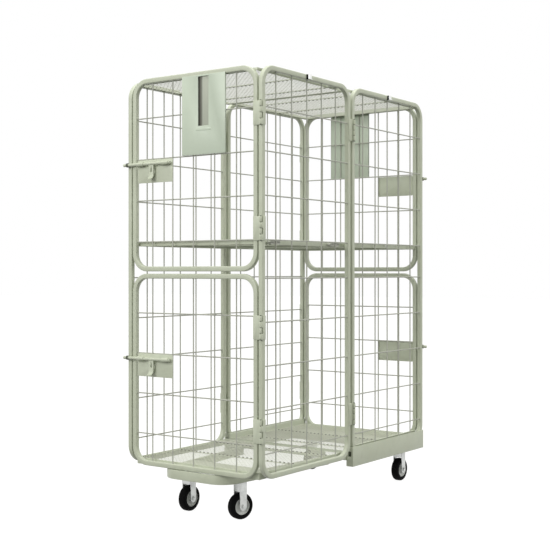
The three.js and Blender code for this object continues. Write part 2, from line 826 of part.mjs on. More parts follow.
function turnToDeck(geometry, y) {
  geometry.rotateZ(Math.PI / 2);
  geometry.translate(deckAxis.x, y, deckAxis.z);
  return geometry;
}

function deckHingePlaces() {
  const reach = cornerY - deckHingeInset;
  return [-reach, reach];
}

// The left deck's frame with knuckles along its right edge
function deckLeft() {
  const right = deckAxis.x - flap.edgeGap;
  const panel = deckHalf(deck.endGap - innerX, right);
  const knuckles = deckHingePlaces().map((y) => turnToDeck(flapMoving(flap.edgeGap + deck.wall / 2), y));
  return join([panel, ...knuckles]);
}

// Leaves that stand on the middle cross-member and hold the left deck's knuckles
function deckLeaves() {
  const leafLow = base.crossTop - weldGap - deckAxis.z;
  return deckHingePlaces().map((y) => {
    const leaf = flapFixed(hinge.leafThick - deckAxis.x, leafLow);
    return turnToDeck(leaf, y);
  });
}

// Casters, about their own swivel axis with the wheel trailing to -X
function casterHead() {
  const top = base.crossTop - sheetWall - weldGap;
  const plateBottom = top - caster.legThick;
  const raceTop = caster.forkTop + caster.raceHeight;
  const plate = block(-caster.plateLong / 2, caster.plateLong / 2, -caster.plateWide / 2, caster.plateWide / 2,
    plateBottom, top);
  const race = rodZ(raceTop + weldGap, plateBottom + weldGap, 0, 0, caster.raceRadius, caster.sides);
  const nutTop = caster.forkTop - caster.plateThick - weldGap;
  const pin = rodZ(nutTop - weldGap, raceTop + caster.raceHeight, 0, 0, caster.kingpinRadius, caster.smallSides);
  const nut = rodZ(nutTop - caster.legThick, nutTop, 0, 0, caster.nutRadius, caster.nutSides);
  return join([plate, race, pin, nut]);
}

function casterFork() {
  const legInner = caster.wheelWidth / 2 + caster.legGap;
  const legOuter = legInner + caster.legThick;
  const plateBottom = caster.forkTop - caster.plateThick;
  const legHalf = caster.legWidth / 2;
  const axleX = -caster.trail;
  const bore = boreFor(caster.kingpinRadius, caster.smallSides);
  const plate = block(axleX - legHalf, caster.raceRadius, -legOuter, legOuter, plateBottom, caster.forkTop);
  const race = rodZ(plateBottom, caster.forkTop + caster.raceHeight, 0, 0, caster.raceRadius, caster.sides);
  const pieces = [plate, race];
  for (const side of [-1, 1]) {
    const y0 = side > 0 ? legInner : -legOuter;
    const y1 = side > 0 ? legOuter : -legInner;
    pieces.push(block(axleX - legHalf, axleX + legHalf, y0, y1, caster.wheelRadius, caster.forkTop));
    pieces.push(rodY(y0, y1, axleX, caster.wheelRadius, legHalf, caster.sides));
  }
  for (const x of [axleX - legHalf, axleX + legHalf - caster.legThick]) {
    pieces.push(block(x, x + caster.legThick, -legOuter, legOuter, caster.webBottom, caster.forkTop));
  }
  const kingpinHole = rodZ(plateBottom - cutOverrun, caster.forkTop + caster.raceHeight + cutOverrun, 0, 0,
    bore, caster.smallSides);
  const axleHole = rodY(-legOuter - cutOverrun, legOuter + cutOverrun, axleX, caster.wheelRadius,
    boreFor(caster.axleRadius, caster.smallSides), caster.smallSides);
  return cut(join(pieces), [kingpinHole, axleHole]);
}

function casterAxle() {
  const legInner = caster.wheelWidth / 2 + caster.legGap;
  const legOuter = legInner + caster.legThick;
  const axleX = -caster.trail;
  const shank = legOuter + caster.nutHeight / 2;
  const axle = rodY(-shank, shank, axleX, caster.wheelRadius, caster.axleRadius, caster.smallSides);
  const heads = [-1, 1].map((side) => {
    const y0 = side > 0 ? legOuter + weldGap : -legOuter - caster.nutHeight;
    const y1 = side > 0 ? legOuter + caster.nutHeight : -legOuter - weldGap;
    return rodY(y0, y1, axleX, caster.wheelRadius, caster.nutRadius, caster.nutSides);
  });
  return join([axle, ...heads]);
}

// Wheel pieces turn about Y and stand on a flat of their facets
function wheelLathe(points) {
  const flatShare = Math.cos(Math.PI / caster.sides);
  const profile = points.map(([radius, across]) => new THREE.Vector2(radius / flatShare, across));
  const closed = [...profile, profile[0].clone()];
  const geometry = new THREE.LatheGeometry(closed, caster.sides, Math.PI / caster.sides);
  geometry.translate(-caster.trail, 0, caster.wheelRadius);
  return geometry;
}

function tyre() {
  const half = caster.wheelWidth / 2;
  const shoulder = caster.tyreShoulder;
  const outer = caster.wheelRadius;
  const inner = caster.rimRadius + weldGap;
  return wheelLathe([
    [inner, -half],
    [outer - shoulder, -half],
    [outer, -half + shoulder],
    [outer, half - shoulder],
    [outer - shoulder, half],
    [inner, half],
  ]);
}

function hub() {
  const half = caster.wheelWidth / 2;
  const bore = caster.axleRadius + runningGap;
  const rim = caster.rimRadius;
  return wheelLathe([
    [bore, -half],
    [caster.hubBoss, -half],
    [caster.hubBoss, -half + caster.hubRecess],
    [rim, -half + caster.hubRecess],
    [rim, half - caster.hubRecess],
    [caster.hubBoss, half - caster.hubRecess],
    [caster.hubBoss, half],
    [bore, half],
  ]);
}

function casterAt(name, x, y, turn) {
  const group = new THREE.Group();
  group.add(meshOf(`${name}_caster_fork`, casterFork(), zinc));
  group.add(meshOf(`${name}_caster_axle`, casterAxle(), zinc));
  group.add(meshOf(`${name}_caster_tyre`, tyre(), rubber));
  group.add(meshOf(`${name}_caster_hub`, hub(), hubGrey));
  group.position.set(x, y, 0);
  group.rotation.z = THREE.MathUtils.degToRad(turn);
  return group;
}

// A D-shaped ring that hangs on the inside of a panel's wires, in the front panel's own frame
function dRing() {
  const wire = ring.wire / 2;
  const y = wireLayer + wireRadius + weldGap + wire;
  const top = shelfRow + wireRadius;
  const half = ring.width / 2 - wire;
  const bar = rodX(-half - wire, half + wire, y, top - wire, wire, ring.sides);
  const arc = [];
  for (let step = 0; step <= ring.steps; step += 1) {
    const angle = Math.PI * step / ring.steps;
    arc.push(new THREE.Vector3(0, half * Math.cos(angle), -(ring.height - ring.wire) * Math.sin(angle)));
  }
  const bow = sweptRod(arc, wire, ring.sides);
  bow.rotateZ(Math.PI / 2);
  bow.translate(0, y, top - wire);
  return join([bar, bow]);
}

// A folded clip over the middle of a top tube, in the front panel's own frame
function hookClip() {
  const out = halfTube + weldGap;
  const low = cageTop - clip.outerLeg;
  const inLow = cageTop - clip.innerLeg;
  const top = cageTop + weldGap;
  const x0 = -clip.width / 2;
  const x1 = clip.width / 2;
  return join([
    block(x0, x1, -out - clip.thick, -out, low, top + clip.thick),
    block(x0, x1, -out - clip.thick, out + clip.thick, top, top + clip.thick),
    block(x0, x1, out, out + clip.thick, inLow, top + clip.thick),
    block(x0, x1, -out - clip.lipOut, -out, low, low + clip.thick),
  ]);
}

// Assembly
const cage = new THREE.Group();

function placeSide(group, x, side) {
  group.position.set(x, side * cornerY, 0);
  group.rotation.z = side > 0 ? Math.PI : 0;
  cage.add(group);
}

cage.add(sidePanel('front_left', -panelCentreX, -1,
  [...cornerHingeLeaves(), ...coverLeaves(), ...foldHinges(foldHingeMoving, -1)], shelfLeaves()));
cage.add(sidePanel('back_right', panelCentreX, 1,
  [...turnAround([...cornerHingeLeaves(), ...coverLeaves()]), ...foldHinges(foldHingeFixed, 1)],
  turnAround(shelfLeaves())));
cage.add(sidePanel('front_right', panelCentreX, -1, foldHinges(foldHingeFixed, -1), []));
cage.add(sidePanel('back_left', -panelCentreX, 1, foldHinges(foldHingeMoving, 1), []));

const nearEnd = new THREE.Group();
nearEnd.add(gateEnd('near'));
cage.add(nearEnd);
const farEnd = new THREE.Group();
farEnd.add(gateEnd('far'));
farEnd.rotation.z = Math.PI;
cage.add(farEnd);

const [shelfStart, shelfEnd] = leftSpan(shelf);
const [coverStart, coverEnd] = leftSpan(cover);
for (const side of ['left', 'right']) {
  const half = new THREE.Group();
  half.add(meshOf(`shelf_${side}`, hingedFlap(shelf, shelfStart, shelfEnd), paint));
  half.add(meshOf(`cover_${side}`, hingedFlap(cover, coverStart, coverEnd), paint));
  half.rotation.z = side === 'right' ? Math.PI : 0;
  cage.add(half);
}

cage.add(meshOf('base_frame', baseFrame(), paint));
cage.add(meshOf('tongue', tongue(), paint));
cage.add(meshOf('deck_left', deckLeft(), paint));
cage.add(meshOf('deck_right', deckHalf(deck.middleGap, innerX - deck.endGap), paint));

const casterPlaces = [
  ['left_front', leftCaster.x, -leftCaster.y, leftCaster.frontTurn],
  ['left_back', leftCaster.x, leftCaster.y, leftCaster.backTurn],
  ['right_front', rightCaster.x, -rightCaster.y, rightCaster.turn],
  ['right_back', rightCaster.x, rightCaster.y, rightCaster.turn],
];
for (const [name, x, y, turn] of casterPlaces) {
  const head = meshOf(`${name}_caster_head`, casterHead(), zinc);
  head.position.set(x, y, 0);
  cage.add(head);
  cage.add(casterAt(name, x, y, turn));
}

const clipPlaces = [
  ['front_left', -panelCentreX, -1],
  ['front_right', panelCentreX, -1],
  ['back_left', -panelCentreX, 1],
];
for (const [name, x, side] of clipPlaces) {
  const holderGroup = new THREE.Group();
  holderGroup.add(meshOf(`${name}_hook_clip`, hookClip(), zinc));
  placeSide(holderGroup, x, side);
}
for (const [name, x, side] of [['front_right', panelCentreX, -1], ['back_left', -panelCentreX, 1]]) {
  const ringGroup = new THREE.Group();
  ringGroup.add(meshOf(`${name}_d_ring`, dRing(), zinc));
  placeSide(ringGroup, x, side);
}

export default cage;
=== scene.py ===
# Roll cage container: its looks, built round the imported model.
# Sizes and places are written in millimetres and turned into metres as each piece is made.
# X runs along the cage, Y across it, Z up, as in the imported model.
import json
import math

import bmesh
import bpy
from mathutils import Matrix, Vector


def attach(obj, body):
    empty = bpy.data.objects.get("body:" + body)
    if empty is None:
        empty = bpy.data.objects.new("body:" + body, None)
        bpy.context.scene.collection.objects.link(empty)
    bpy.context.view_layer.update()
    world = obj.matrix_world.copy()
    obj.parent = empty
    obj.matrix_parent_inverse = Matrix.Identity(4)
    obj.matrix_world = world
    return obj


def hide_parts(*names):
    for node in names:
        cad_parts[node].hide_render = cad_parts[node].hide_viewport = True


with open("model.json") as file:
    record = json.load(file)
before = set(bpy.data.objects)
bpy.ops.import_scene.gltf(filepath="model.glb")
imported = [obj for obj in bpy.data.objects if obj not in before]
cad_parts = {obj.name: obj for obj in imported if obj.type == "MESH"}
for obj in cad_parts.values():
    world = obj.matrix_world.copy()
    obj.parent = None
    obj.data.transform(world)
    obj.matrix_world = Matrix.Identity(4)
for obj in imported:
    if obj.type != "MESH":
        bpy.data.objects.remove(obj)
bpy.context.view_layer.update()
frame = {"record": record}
MM = 0.001
HALF_TURN = 180
ALIGNED = 0.99  # the least cosine at which two directions count as the same

# Main places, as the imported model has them
CAGE_TOP = 1700
PANEL_BOTTOM = 187
CORNER_X, CORNER_Y = 602, 321
TUBE, TUBE_BEND, TUBE_EDGE = 19, 62, 3.6
HALF_TUBE = TUBE / 2
BEND_STEPS = 14
PANEL_X = 309
PANEL_HALF, GATE_HALF = 293, 297.5
SPLIT_LOW, SPLIT_HIGH = 937, 946
INNER_X = CORNER_X - HALF_TUBE
INNER_Y = CORNER_Y - HALF_TUBE
OUTER_X = CORNER_X + HALF_TUBE
OUTER_Y = CORNER_Y + HALF_TUBE
SHEET = 2.5

# How far a welded piece reaches into what carries it, and how far a piece that is laid on stands off
BITE = 0.3
STAND_OFF = 0.3

# Wires
WIRE = 2.5
LAYER = 2
PANEL_UPRIGHTS = [-204, -102, 0, 102, 204]
GATE_UPRIGHTS = [-206.4, -103.2, 0, 103.2, 206.4]
LOW_ROWS = [281, 441, 601, 761, 921]
HIGH_ROWS = [1061.5, 1223, 1384.5, 1546]
LOW_GATE_ROWS = [311, 468.3, 625.6, 782.9]

# From the middle of a panel or gate out to what is laid on its tubes or on its wires
ON_TUBE = HALF_TUBE + STAND_OFF
ON_WIRES = LAYER + WIRE + STAND_OFF

# Hinges
HINGE_HEIGHTS = [1520.5, 1102.5, 743, 366.5]
UPPER_HINGES, LOWER_HINGES = HINGE_HEIGHTS[:2], HINGE_HEIGHTS[2:]
FOLD_HEIGHTS = [1520.5, 366.5]
HINGE_HALF = 44
BARREL, PIN = 5.2, 2.5
KNUCKLE_GAP, TAB_GAP = 1.3, 0.3
HINGE_X = 326
AXIS_OUT = HALF_TUBE + 0.5 + BARREL
FOLD_X = 10
FIXED_LEAF, MOVING_LEAF = 13.5, 33.5

# The lowest quarter of the barrel that each half of a hinge takes
FIXED, MOVING = -2, -1

# Latches
LATCH_NEAR, LATCH_WIDTH, LATCH_HEIGHT, LATCH_THICK = 100, 181, 90, 2
LATCH_TOPS = {"upper": 1381.5, "lower": 625}
BOLT_HEIGHTS = {"upper": 1365, "lower": 605}
BOLT_Y = -18.1
BOLT, GUIDE = 6, 7.9
GUIDE_LENGTH = 36

# The slot in a document holder, across and up
HOLDER_SLOT = (30.8, 80.8), (1494, 1680)

# Flat halves: deck, shelf and cover
DECK_Z, SHELF_Z, COVER_Z = (185.8, 211.8), (1045, 1060.5), (1674, 1691)
DECK_MESH, SHELF_MESH, COVER_MESH = 208.5, 1057, 1681
COVER_EDGE = (1679.5, 1691)
LEFT_SPAN = (-590, -4)
RIB_PLACES = [114, 346]
RIB = 2
MESH_PITCH, STRAND_WIDTH, STRAND_THICK = 14.1, 1.7, 1.4
WELD_STEP, WELD_SIZE = 20, (3.4, 12, 3)
FLAP_HINGES = [-513, -105]
FLAP_LEAF, FLAP_KNUCKLE, FLAP_REACH, TAB_START = 30, 10, 9.5, 3.8
SHELF_AXIS = (8.5 - INNER_Y, sum(SHELF_Z) / 2)
COVER_AXIS = (12.5 - INNER_Y, sum(COVER_Z) / 2)
DECK_HINGES = [-172, 172]
DECK_AXIS = (-8, 198.8)

# Base
BASE_LOW, BASE_TOP, BEAM_TOP = 150, 185.5, 230
BEAM_OUTER = OUTER_Y + STAND_OFF + SHEET
BEAM_INNER = BEAM_OUTER - 32
BEAM_LAP = 1.2
MIDDLE_MEMBER = (-2, 14, 175)  # left, right and lowest

# Casters. The last table gives the place and turn of each.
WHEEL, WHEEL_HALF, RIM = 50, 17, 32
TRAIL = 25
FORK_TOP, RACE = 149.3, 26
CASTERS = {
    "left_front": (-449, -131, -19),
    "left_back": (-449, 131, 0),
    "right_front": (534, -239, HALF_TURN),
    "right_back": (534, 239, HALF_TURN),
}


# Modelling helpers
def only(*pieces):
    """Object mode, with these pieces selected and the first one active."""
    if bpy.context.mode != "OBJECT":
        bpy.ops.object.mode_set(mode="OBJECT")
    bpy.ops.object.select_all(action="DESELECT")
    for piece in pieces:
        piece.select_set(True)
    if pieces:
        bpy.context.view_layer.objects.active = pieces[0]


def drop(*pieces):
    for piece in pieces:
        bpy.data.objects.remove(piece)


def settle(piece):
    """Puts a piece's place, turn and size into its mesh."""
    only(piece)
    bpy.ops.object.transform_apply(location=True, rotation=True, scale=True)
    return piece


def pick(piece, kind, wanted):
    """Edit mode, with only the wanted points, edges or faces selected."""
    only(piece)
    bpy.ops.object.mode_set(mode="EDIT")
    bpy.ops.mesh.select_mode(type=kind)
    bpy.ops.mesh.select_all(action="DESELECT")
    shape = bmesh.from_edit_mesh(piece.data)
    parts = {"VERT": shape.verts, "EDGE": shape.edges, "FACE": shape.faces}[kind]
    for part in parts:
        part.select_set(bool(wanted(part)))
    shape.select_flush_mode()
    bmesh.update_edit_mesh(piece.data)


def every(part):
    return True


def facing(axis, side):
    """Chooses the faces that point along one axis."""
    return lambda face: face.normal[axis] * side > ALIGNED


def runs_along(edge, axis):
    first, second = edge.verts
    return abs((first.co - second.co).normalized()[axis]) > ALIGNED


def mean_point(edge):
    return (edge.verts[0].co + edge.verts[1].co) / 2


def leave_edit():
    bpy.ops.object.mode_set(mode="OBJECT")


def close_up(piece):
    """Merges doubles and turns every face outwards."""
    pick(piece, "VERT", every)
    bpy.ops.mesh.remove_doubles(threshold=0.01 * MM)
    bpy.ops.mesh.normals_make_consistent(inside=False)
    leave_edit()
    return piece


def stretch_points(piece, wanted, factors, centre=(0, 0, 0)):
    """Scales the wanted points about a centre."""
    pick(piece, "VERT", wanted)
    bpy.ops.transform.resize(value=factors, center_override=Vector(centre) * MM)
    leave_edit()
    return piece


def round_edges(piece, wanted, radius, segments):
    """Rounds the wanted edges alone."""
    pick(piece, "EDGE", wanted)
    bpy.ops.mesh.bevel(affect="EDGES", offset=radius * MM, segments=segments)
    leave_edit()
    return piece


def finish_modifier(piece, kind, **settings):
    """Gives a piece a modifier and applies it."""
    modifier = piece.modifiers.new(kind.title(), kind)
    for setting, value in settings.items():
        setattr(modifier, setting, value)
    only(piece)
    bpy.ops.object.modifier_apply(modifier=modifier.name)
    return piece


def soften(piece, width, segments=2, angle=35):
    """Rounds the edges that turn by more than an angle."""
    return finish_modifier(piece, "BEVEL", width=width * MM, segments=segments, limit_method="ANGLE",
                           angle_limit=math.radians(angle))


def soften_rims(piece, width, segments=2):
    """Rounds the rims of a round piece, and leaves the facets of its wall as they are."""
    return soften(piece, width, segments, 60)


def smooth(piece, angle=38):
    only(piece)
    bpy.ops.object.shade_smooth_by_angle(angle=math.radians(angle))
    return piece


def block(low, high):
    """A square-edged start between two corners."""
    only()
    centre = [(a + b) / 2 * MM for a, b in zip(low, high)]
    bpy.ops.mesh.primitive_cube_add(size=1, location=centre)
    piece = bpy.context.object
    piece.scale = [(b - a) * MM for a, b in zip(low, high)]
    return settle(piece)


def rod(start, end, radius, sides=20):
    """A round start between two points."""
    only()
    start, end = Vector(start), Vector(end)
    along = end - start
    bpy.ops.mesh.primitive_cylinder_add(
        vertices=sides, radius=radius * MM, depth=along.length * MM, location=(start + end) / 2 * MM,
        rotation=along.to_track_quat("Z", "Y").to_euler())
    return settle(bpy.context.object)


def flat_start(width, length, centre, tilt=0):
    """A flat rectangle, level or tilted about X by degrees."""
    only()
    bpy.ops.mesh.primitive_plane_add(size=1, location=Vector(centre) * MM,
                                     rotation=(math.radians(tilt), 0, 0))
    piece = bpy.context.object
    piece.scale = (width * MM, length * MM, 1)
    return settle(piece)


def carve(piece, *cutters):
    """Cuts each cutter out of a piece."""
    for cutter in cutters:
        finish_modifier(piece, "BOOLEAN", operation="DIFFERENCE", solver="EXACT", object=cutter)
        drop(cutter)
    return piece


def join(*pieces):
    only(*pieces)
    bpy.ops.object.join()
    return bpy.context.object


def copied(piece, place=Matrix.Identity(4)):
    """A copy with its own mesh, moved by a matrix in metres."""
    twin = bpy.data.objects.new(piece.name, piece.data.copy())
    bpy.context.scene.collection.objects.link(twin)
    twin.data.transform(place)
    return twin


def moved(piece, place):
    piece.data.transform(place)
    return piece


def spread(piece, places):
    """A copy at each place, without the piece itself."""
    copies = [copied(piece, place) for place in places]
    drop(piece)
    return copies


def mirrored(piece, axis):
    return close_up(moved(piece, Matrix.Scale(-1, 4, axis)))


def at(x, y, z, turn=0):
    """A place in millimetres, turned about the vertical by degrees."""
    return Matrix.Translation(Vector((x, y, z)) * MM) @ Matrix.Rotation(math.radians(turn), 4, "Z")


def step_faces(piece, wanted, steps):
    """Insets and extrudes the wanted faces, step after step. A step is (inset, move, growth)."""
    pick(piece, "FACE", wanted)
    for inset, move, growth in steps:
        if inset:
            bpy.ops.mesh.inset(thickness=inset * MM, use_even_offset=True)
        if any(move):
            bpy.ops.mesh.extrude_region_move(TRANSFORM_OT_translate={"value": [v * MM for v in move]})
        if growth != 1:
            shape = bmesh.from_edit_mesh(piece.data)
            chosen = [face.calc_center_median() for face in shape.faces if face.select]
            centre = sum(chosen, Vector()) / len(chosen)
            bpy.ops.transform.resize(value=(growth, growth, growth), center_override=centre)
    leave_edit()
    return piece


def sleeve(start, end, inner, outer, sides=24):
    """A round tube: a rod whose two end faces are inset and bridged through."""
    piece = rod(start, end, outer, sides)
    along = (Vector(end) - Vector(start)).normalized()
    pick(piece, "FACE", lambda face: abs(face.normal.dot(along)) > ALIGNED)
    bpy.ops.mesh.inset(thickness=(outer - inner) * MM, use_even_offset=True)
    bpy.ops.mesh.bridge_edge_loops()
    leave_edit()
    return piece


# Where the gates and the side panels stand
NEAR = at(-CORNER_X, 0, 0, -90)
FAR = at(0, 0, 0, HALF_TURN) @ NEAR
TURNED = at(0, 0, 0, HALF_TURN)
QUARTER_TURN = Matrix.Rotation(math.pi / 2, 4, "Z")
PANELS = {
    "front_left": at(-PANEL_X, -CORNER_Y, 0),
    "front_right": at(PANEL_X, -CORNER_Y, 0),
    "back_left": at(-PANEL_X, CORNER_Y, 0, HALF_TURN),
    "back_right": at(PANEL_X, CORNER_Y, 0, HALF_TURN),
}


# Tubes and wires
def tube_loop(half, low, high):
    """A loop of square tube with bent corners: a flat plate that is rounded, inset, opened and thickened."""
    piece = flat_start(2 * half + TUBE, high - low, (0, 0, (low + high) / 2), 90)
    pick(piece, "VERT", every)
    bpy.ops.mesh.bevel(affect="VERTICES", offset=(TUBE_BEND + HALF_TUBE) * MM, segments=BEND_STEPS)
    bpy.ops.mesh.select_all(action="SELECT")
    bpy.ops.mesh.inset(thickness=TUBE * MM, use_even_offset=True)
    bpy.ops.mesh.delete(type="FACE")
    leave_edit()
    finish_modifier(piece, "SOLIDIFY", thickness=TUBE * MM, offset=0, use_even_offset=True)
    return soften(piece, TUBE_EDGE, 4, 50)


def wire(start, end):
    """A round wire whose ends flare into their weld on the tube."""
    flare, flare_steps = 2.6, ((0.6, 1.12), (0.4, 1.35))
    start, end = Vector(start), Vector(end)
    along = (end - start).normalized()
    piece = rod(start + along * flare, end - along * flare, WIRE, 12)
    for side in (-1, 1):
        step_faces(piece, lambda face, side=side: face.normal.dot(along) * side > ALIGNED,
                   [(0, along * side * flare * share, growth) for share, growth in flare_steps])
    return piece


def weld_spot():
    """The small squeezed bead where two wires cross."""
    only()
    bpy.ops.mesh.primitive_uv_sphere_add(segments=10, ring_count=6, radius=2.9 * MM)
    bead = bpy.context.object
    bead.scale = (1.15, 0.75, 1.15)
    settle(bead)
    return stretch_points(bead, lambda point: abs(point.co.y) < 0.4 * MM, (1.08, 1, 1.08))


def wire_grid(half, low, high, uprights, rows, uprights_outside):
    """The welded wires of a panel or gate, with the uprights in the outer or the inner layer."""
    reach = half - HALF_TUBE + BITE
    bottom, top = low + TUBE - BITE, high - TUBE + BITE
    upright_y = -LAYER if uprights_outside else LAYER
    row = wire((-reach, -upright_y, 0), (reach, -upright_y, 0))
    upright = wire((0, upright_y, bottom), (0, upright_y, top))
    pieces = spread(row, [at(0, 0, height) for height in rows])
    pieces += spread(upright, [at(x, 0, 0) for x in uprights])
    pieces += spread(weld_spot(), [at(x, 0, height) for x in uprights for height in rows])
    return join(*pieces)


# Hinges. The pin stands at the origin, along Z.
def knuckles(places):
    """Rolled knuckles of a hinge barrel, with their ends eased."""
    pieces = []
    for low, high in places:
        knuckle = rod((0, 0, low + KNUCKLE_GAP), (0, 0, high - KNUCKLE_GAP), BARREL, 24)
        pieces.append(soften_rims(knuckle, 0.5))
    return pieces


def quarters(first):
    """Every other quarter of the barrel's height."""
    quarter = HINGE_HALF / 2
    return [(quarter * (first + step), quarter * (first + step + 1)) for step in (0, 2)]


def pin():
    """A hinge pin with a low head at each end."""
    body = rod((0, 0, -HINGE_HALF), (0, 0, HINGE_HALF), PIN, 16)
    for side in (-1, 1):
        head = ((0.2, 1.5), (0.9, 1), (0.5, 0.6))
        step_faces(body, facing(2, side), [(0, (0, 0, rise * side), growth) for rise, growth in head])
    return body


def leaf_plate(low, high, corner=3):
    """A hinge leaf with rounded corners. Its thin side is found from its size."""
    plate = block(low, high)
    sizes = [b - a for a, b in zip(low, high)]
    thin = sizes.index(min(sizes))
    round_edges(plate, lambda edge: runs_along(edge, thin), corner, 4)
    return soften(plate, 0.45, 2, 50)


def tabs(first, near, far):
    """The flat tabs that carry the knuckles, between two corners across the pin."""
    return [soften(block((*near, low + TAB_GAP), (*far, high - TAB_GAP)), 0.4)
            for low, high in quarters(first)]


def gate_hinge_fixed(height):
    """The half that is welded to the corner post's side face, in the gate's own frame."""
    inner, outer = OUTER_Y - BITE, OUTER_Y + SHEET
    leaf_front, leaf_back, tab_lap = -8.7, 7.5, 0.7
    pieces = [moved(piece, at(HINGE_X, -AXIS_OUT, 0)) for piece in knuckles(quarters(FIXED))]
    pieces.append(leaf_plate((inner, leaf_front, -HINGE_HALF), (outer, leaf_back, HINGE_HALF)))
    pieces += tabs(FIXED, (inner, -AXIS_OUT - 1.2), (outer, leaf_front + tab_lap))
    return moved(join(*pieces), at(0, 0, height))


def gate_hinge_moving(height):
    """The half that lies across the gate post, in the gate's own frame."""
    back, front = -ON_TUBE, -ON_TUBE - SHEET
    leaf_start, leaf_end, weld_end = 290, 320.5, 304.5
    weld_top = HINGE_HALF - 3
    pieces = [moved(piece, at(HINGE_X, -AXIS_OUT, 0)) for piece in knuckles(quarters(MOVING))]
    pieces.append(leaf_plate((leaf_start, front, -HINGE_HALF), (leaf_end, back, HINGE_HALF)))
    pieces.append(block((leaf_start + 1, front + 0.8, -weld_top), (weld_end, -HALF_TUBE + BITE, weld_top)))
    pieces += tabs(MOVING, (leaf_end - 1.5, front), (HINGE_X - PIN, back))
    return moved(join(*pieces), at(0, 0, height))


def gate_pin(height):
    return moved(pin(), at(HINGE_X, -AXIS_OUT, height))


def fold_hinge(reach, first):
    """Half of a fold hinge on a middle post at -Y of the cage. Its leaf runs towards +X."""
    face, leaf_start = AXIS_OUT - HALF_TUBE, 6.5
    pieces = knuckles(quarters(first))
    pieces.append(leaf_plate((leaf_start, face - SHEET, -HINGE_HALF), (reach, face + BITE, HINGE_HALF)))
    pieces += tabs(first, (PIN, face - SHEET), (leaf_start + 0.5, face - BITE))
    return close_up(join(*pieces))


def fold_places(side):
    return [at(FOLD_X, side * (CORNER_Y + AXIS_OUT), height) for height in FOLD_HEIGHTS]


def fold_hinges(fixed, side):
    """The fixed or the moving halves of the fold hinges, at the front (-1) or back (1) of the cage."""
    half = fold_hinge(FIXED_LEAF, FIXED) if fixed else mirrored(fold_hinge(MOVING_LEAF, MOVING), (1, 0, 0))
    if side > 0:
        mirrored(half, (0, 1, 0))
    return spread(half, fold_places(side))


def fold_pins(side):
    return spread(pin(), fold_places(side))


# Hinges of the flat halves lie along X, with the flap towards +Y
def flap_fixed(reach, leaf_low):
    """The leaf with its two knuckles and the pin."""
    pieces = []
    for low, high in ((-FLAP_LEAF, -FLAP_KNUCKLE), (FLAP_KNUCKLE, FLAP_LEAF)):
        knuckle = rod((low + KNUCKLE_GAP / 2, 0, 0), (high - KNUCKLE_GAP / 2, 0, 0), BARREL, 24)
        pieces.append(soften_rims(knuckle, 0.5))
        pieces.append(soften(block((low, -reach, -SHEET / 2), (high, -TAB_START, SHEET / 2)), 0.3))
    pieces.append(soften_rims(rod((-FLAP_LEAF - 1, 0, 0), (FLAP_LEAF + 1, 0, 0), PIN, 16), 0.4))
    pieces.append(leaf_plate((-FLAP_LEAF, -reach, leaf_low), (FLAP_LEAF, -reach + SHEET, leaf_low + 14), 2))
    return join(*pieces)


def flap_moving():
    """The middle knuckle and the tab that joins it to the flap."""
    end, tab_half = FLAP_KNUCKLE - KNUCKLE_GAP, FLAP_KNUCKLE - 0.5
    knuckle = sleeve((-end, 0, 0), (end, 0, 0), PIN + 0.4, BARREL)
    tab = soften(block((-tab_half, TAB_START, -SHEET / 2), (tab_half, FLAP_REACH, SHEET / 2)), 0.3)
    return join(knuckle, tab)


def flap_places(axis):
    return [at(x, *axis) for x in FLAP_HINGES]


def deck_places():
    return [at(DECK_AXIS[0], y, DECK_AXIS[1]) for y in DECK_HINGES]


# Deck, shelf and cover halves
def diamond_mesh(x0, x1, y0, y1, height):
    """A fine diamond mesh: a grid turned by 45 degrees, cut to its frame and made into flat strands."""
    centre = Vector(((x0 + x1) / 2, (y0 + y1) / 2, height))
    cells = math.ceil((x1 - x0 + y1 - y0) / math.sqrt(2) / MESH_PITCH) + 1
    only()
    bpy.ops.mesh.primitive_grid_add(x_subdivisions=cells, y_subdivisions=cells, size=cells * MESH_PITCH * MM,
                                    location=centre * MM, rotation=(0, 0, math.radians(45)))
    piece = settle(bpy.context.object)
    for point, normal in (((x0, 0), (-1, 0)), ((x1, 0), (1, 0)), ((0, y0), (0, -1)), ((0, y1), (0, 1))):
        pick(piece, "FACE", every)
        bpy.ops.mesh.bisect(plane_co=(point[0] * MM, point[1] * MM, 0), plane_no=(*normal, 0),
                            clear_outer=True)
        leave_edit()
    finish_modifier(piece, "WIREFRAME", thickness=STRAND_WIDTH * MM, use_even_offset=False, use_boundary=True)
    return stretch_points(piece, every, (1, 1, STRAND_THICK / STRAND_WIDTH), centre)


def flat_ring(x0, x1, y0, y1, width, bottom, top):
    """A rectangular band: a plate that is inset, opened and thickened."""
    piece = flat_start(x1 - x0, y1 - y0, ((x0 + x1) / 2, (y0 + y1) / 2, top))
    pick(piece, "FACE", every)
    bpy.ops.mesh.inset(thickness=width * MM, use_even_offset=True)
    bpy.ops.mesh.delete(type="FACE")
    leave_edit()
    finish_modifier(piece, "SOLIDIFY", thickness=(top - bottom) * MM, offset=-1)
    return soften(piece, 0.8, 3)


def rib_shade_dashes(x, y0, y1, height):
    """A row of flattened weld dashes along a rib, in a dark coat that is painted shade."""
    only()
    bpy.ops.mesh.primitive_uv_sphere_add(segments=8, ring_count=6, radius=0.5 * MM)
    dash = bpy.context.object
    dash.scale = WELD_SIZE
    settle(dash)
    stretch_points(dash, lambda point: abs(point.co.y) > 0.4 * WELD_SIZE[1] * MM, (1.3, 0.85, 1.3))
    count = int((y1 - y0 - WELD_STEP) / WELD_STEP)
    start = (y0 + y1 - count * WELD_STEP) / 2
    return spread(dash, [at(x, start + step * WELD_STEP, height) for step in range(count + 1)])


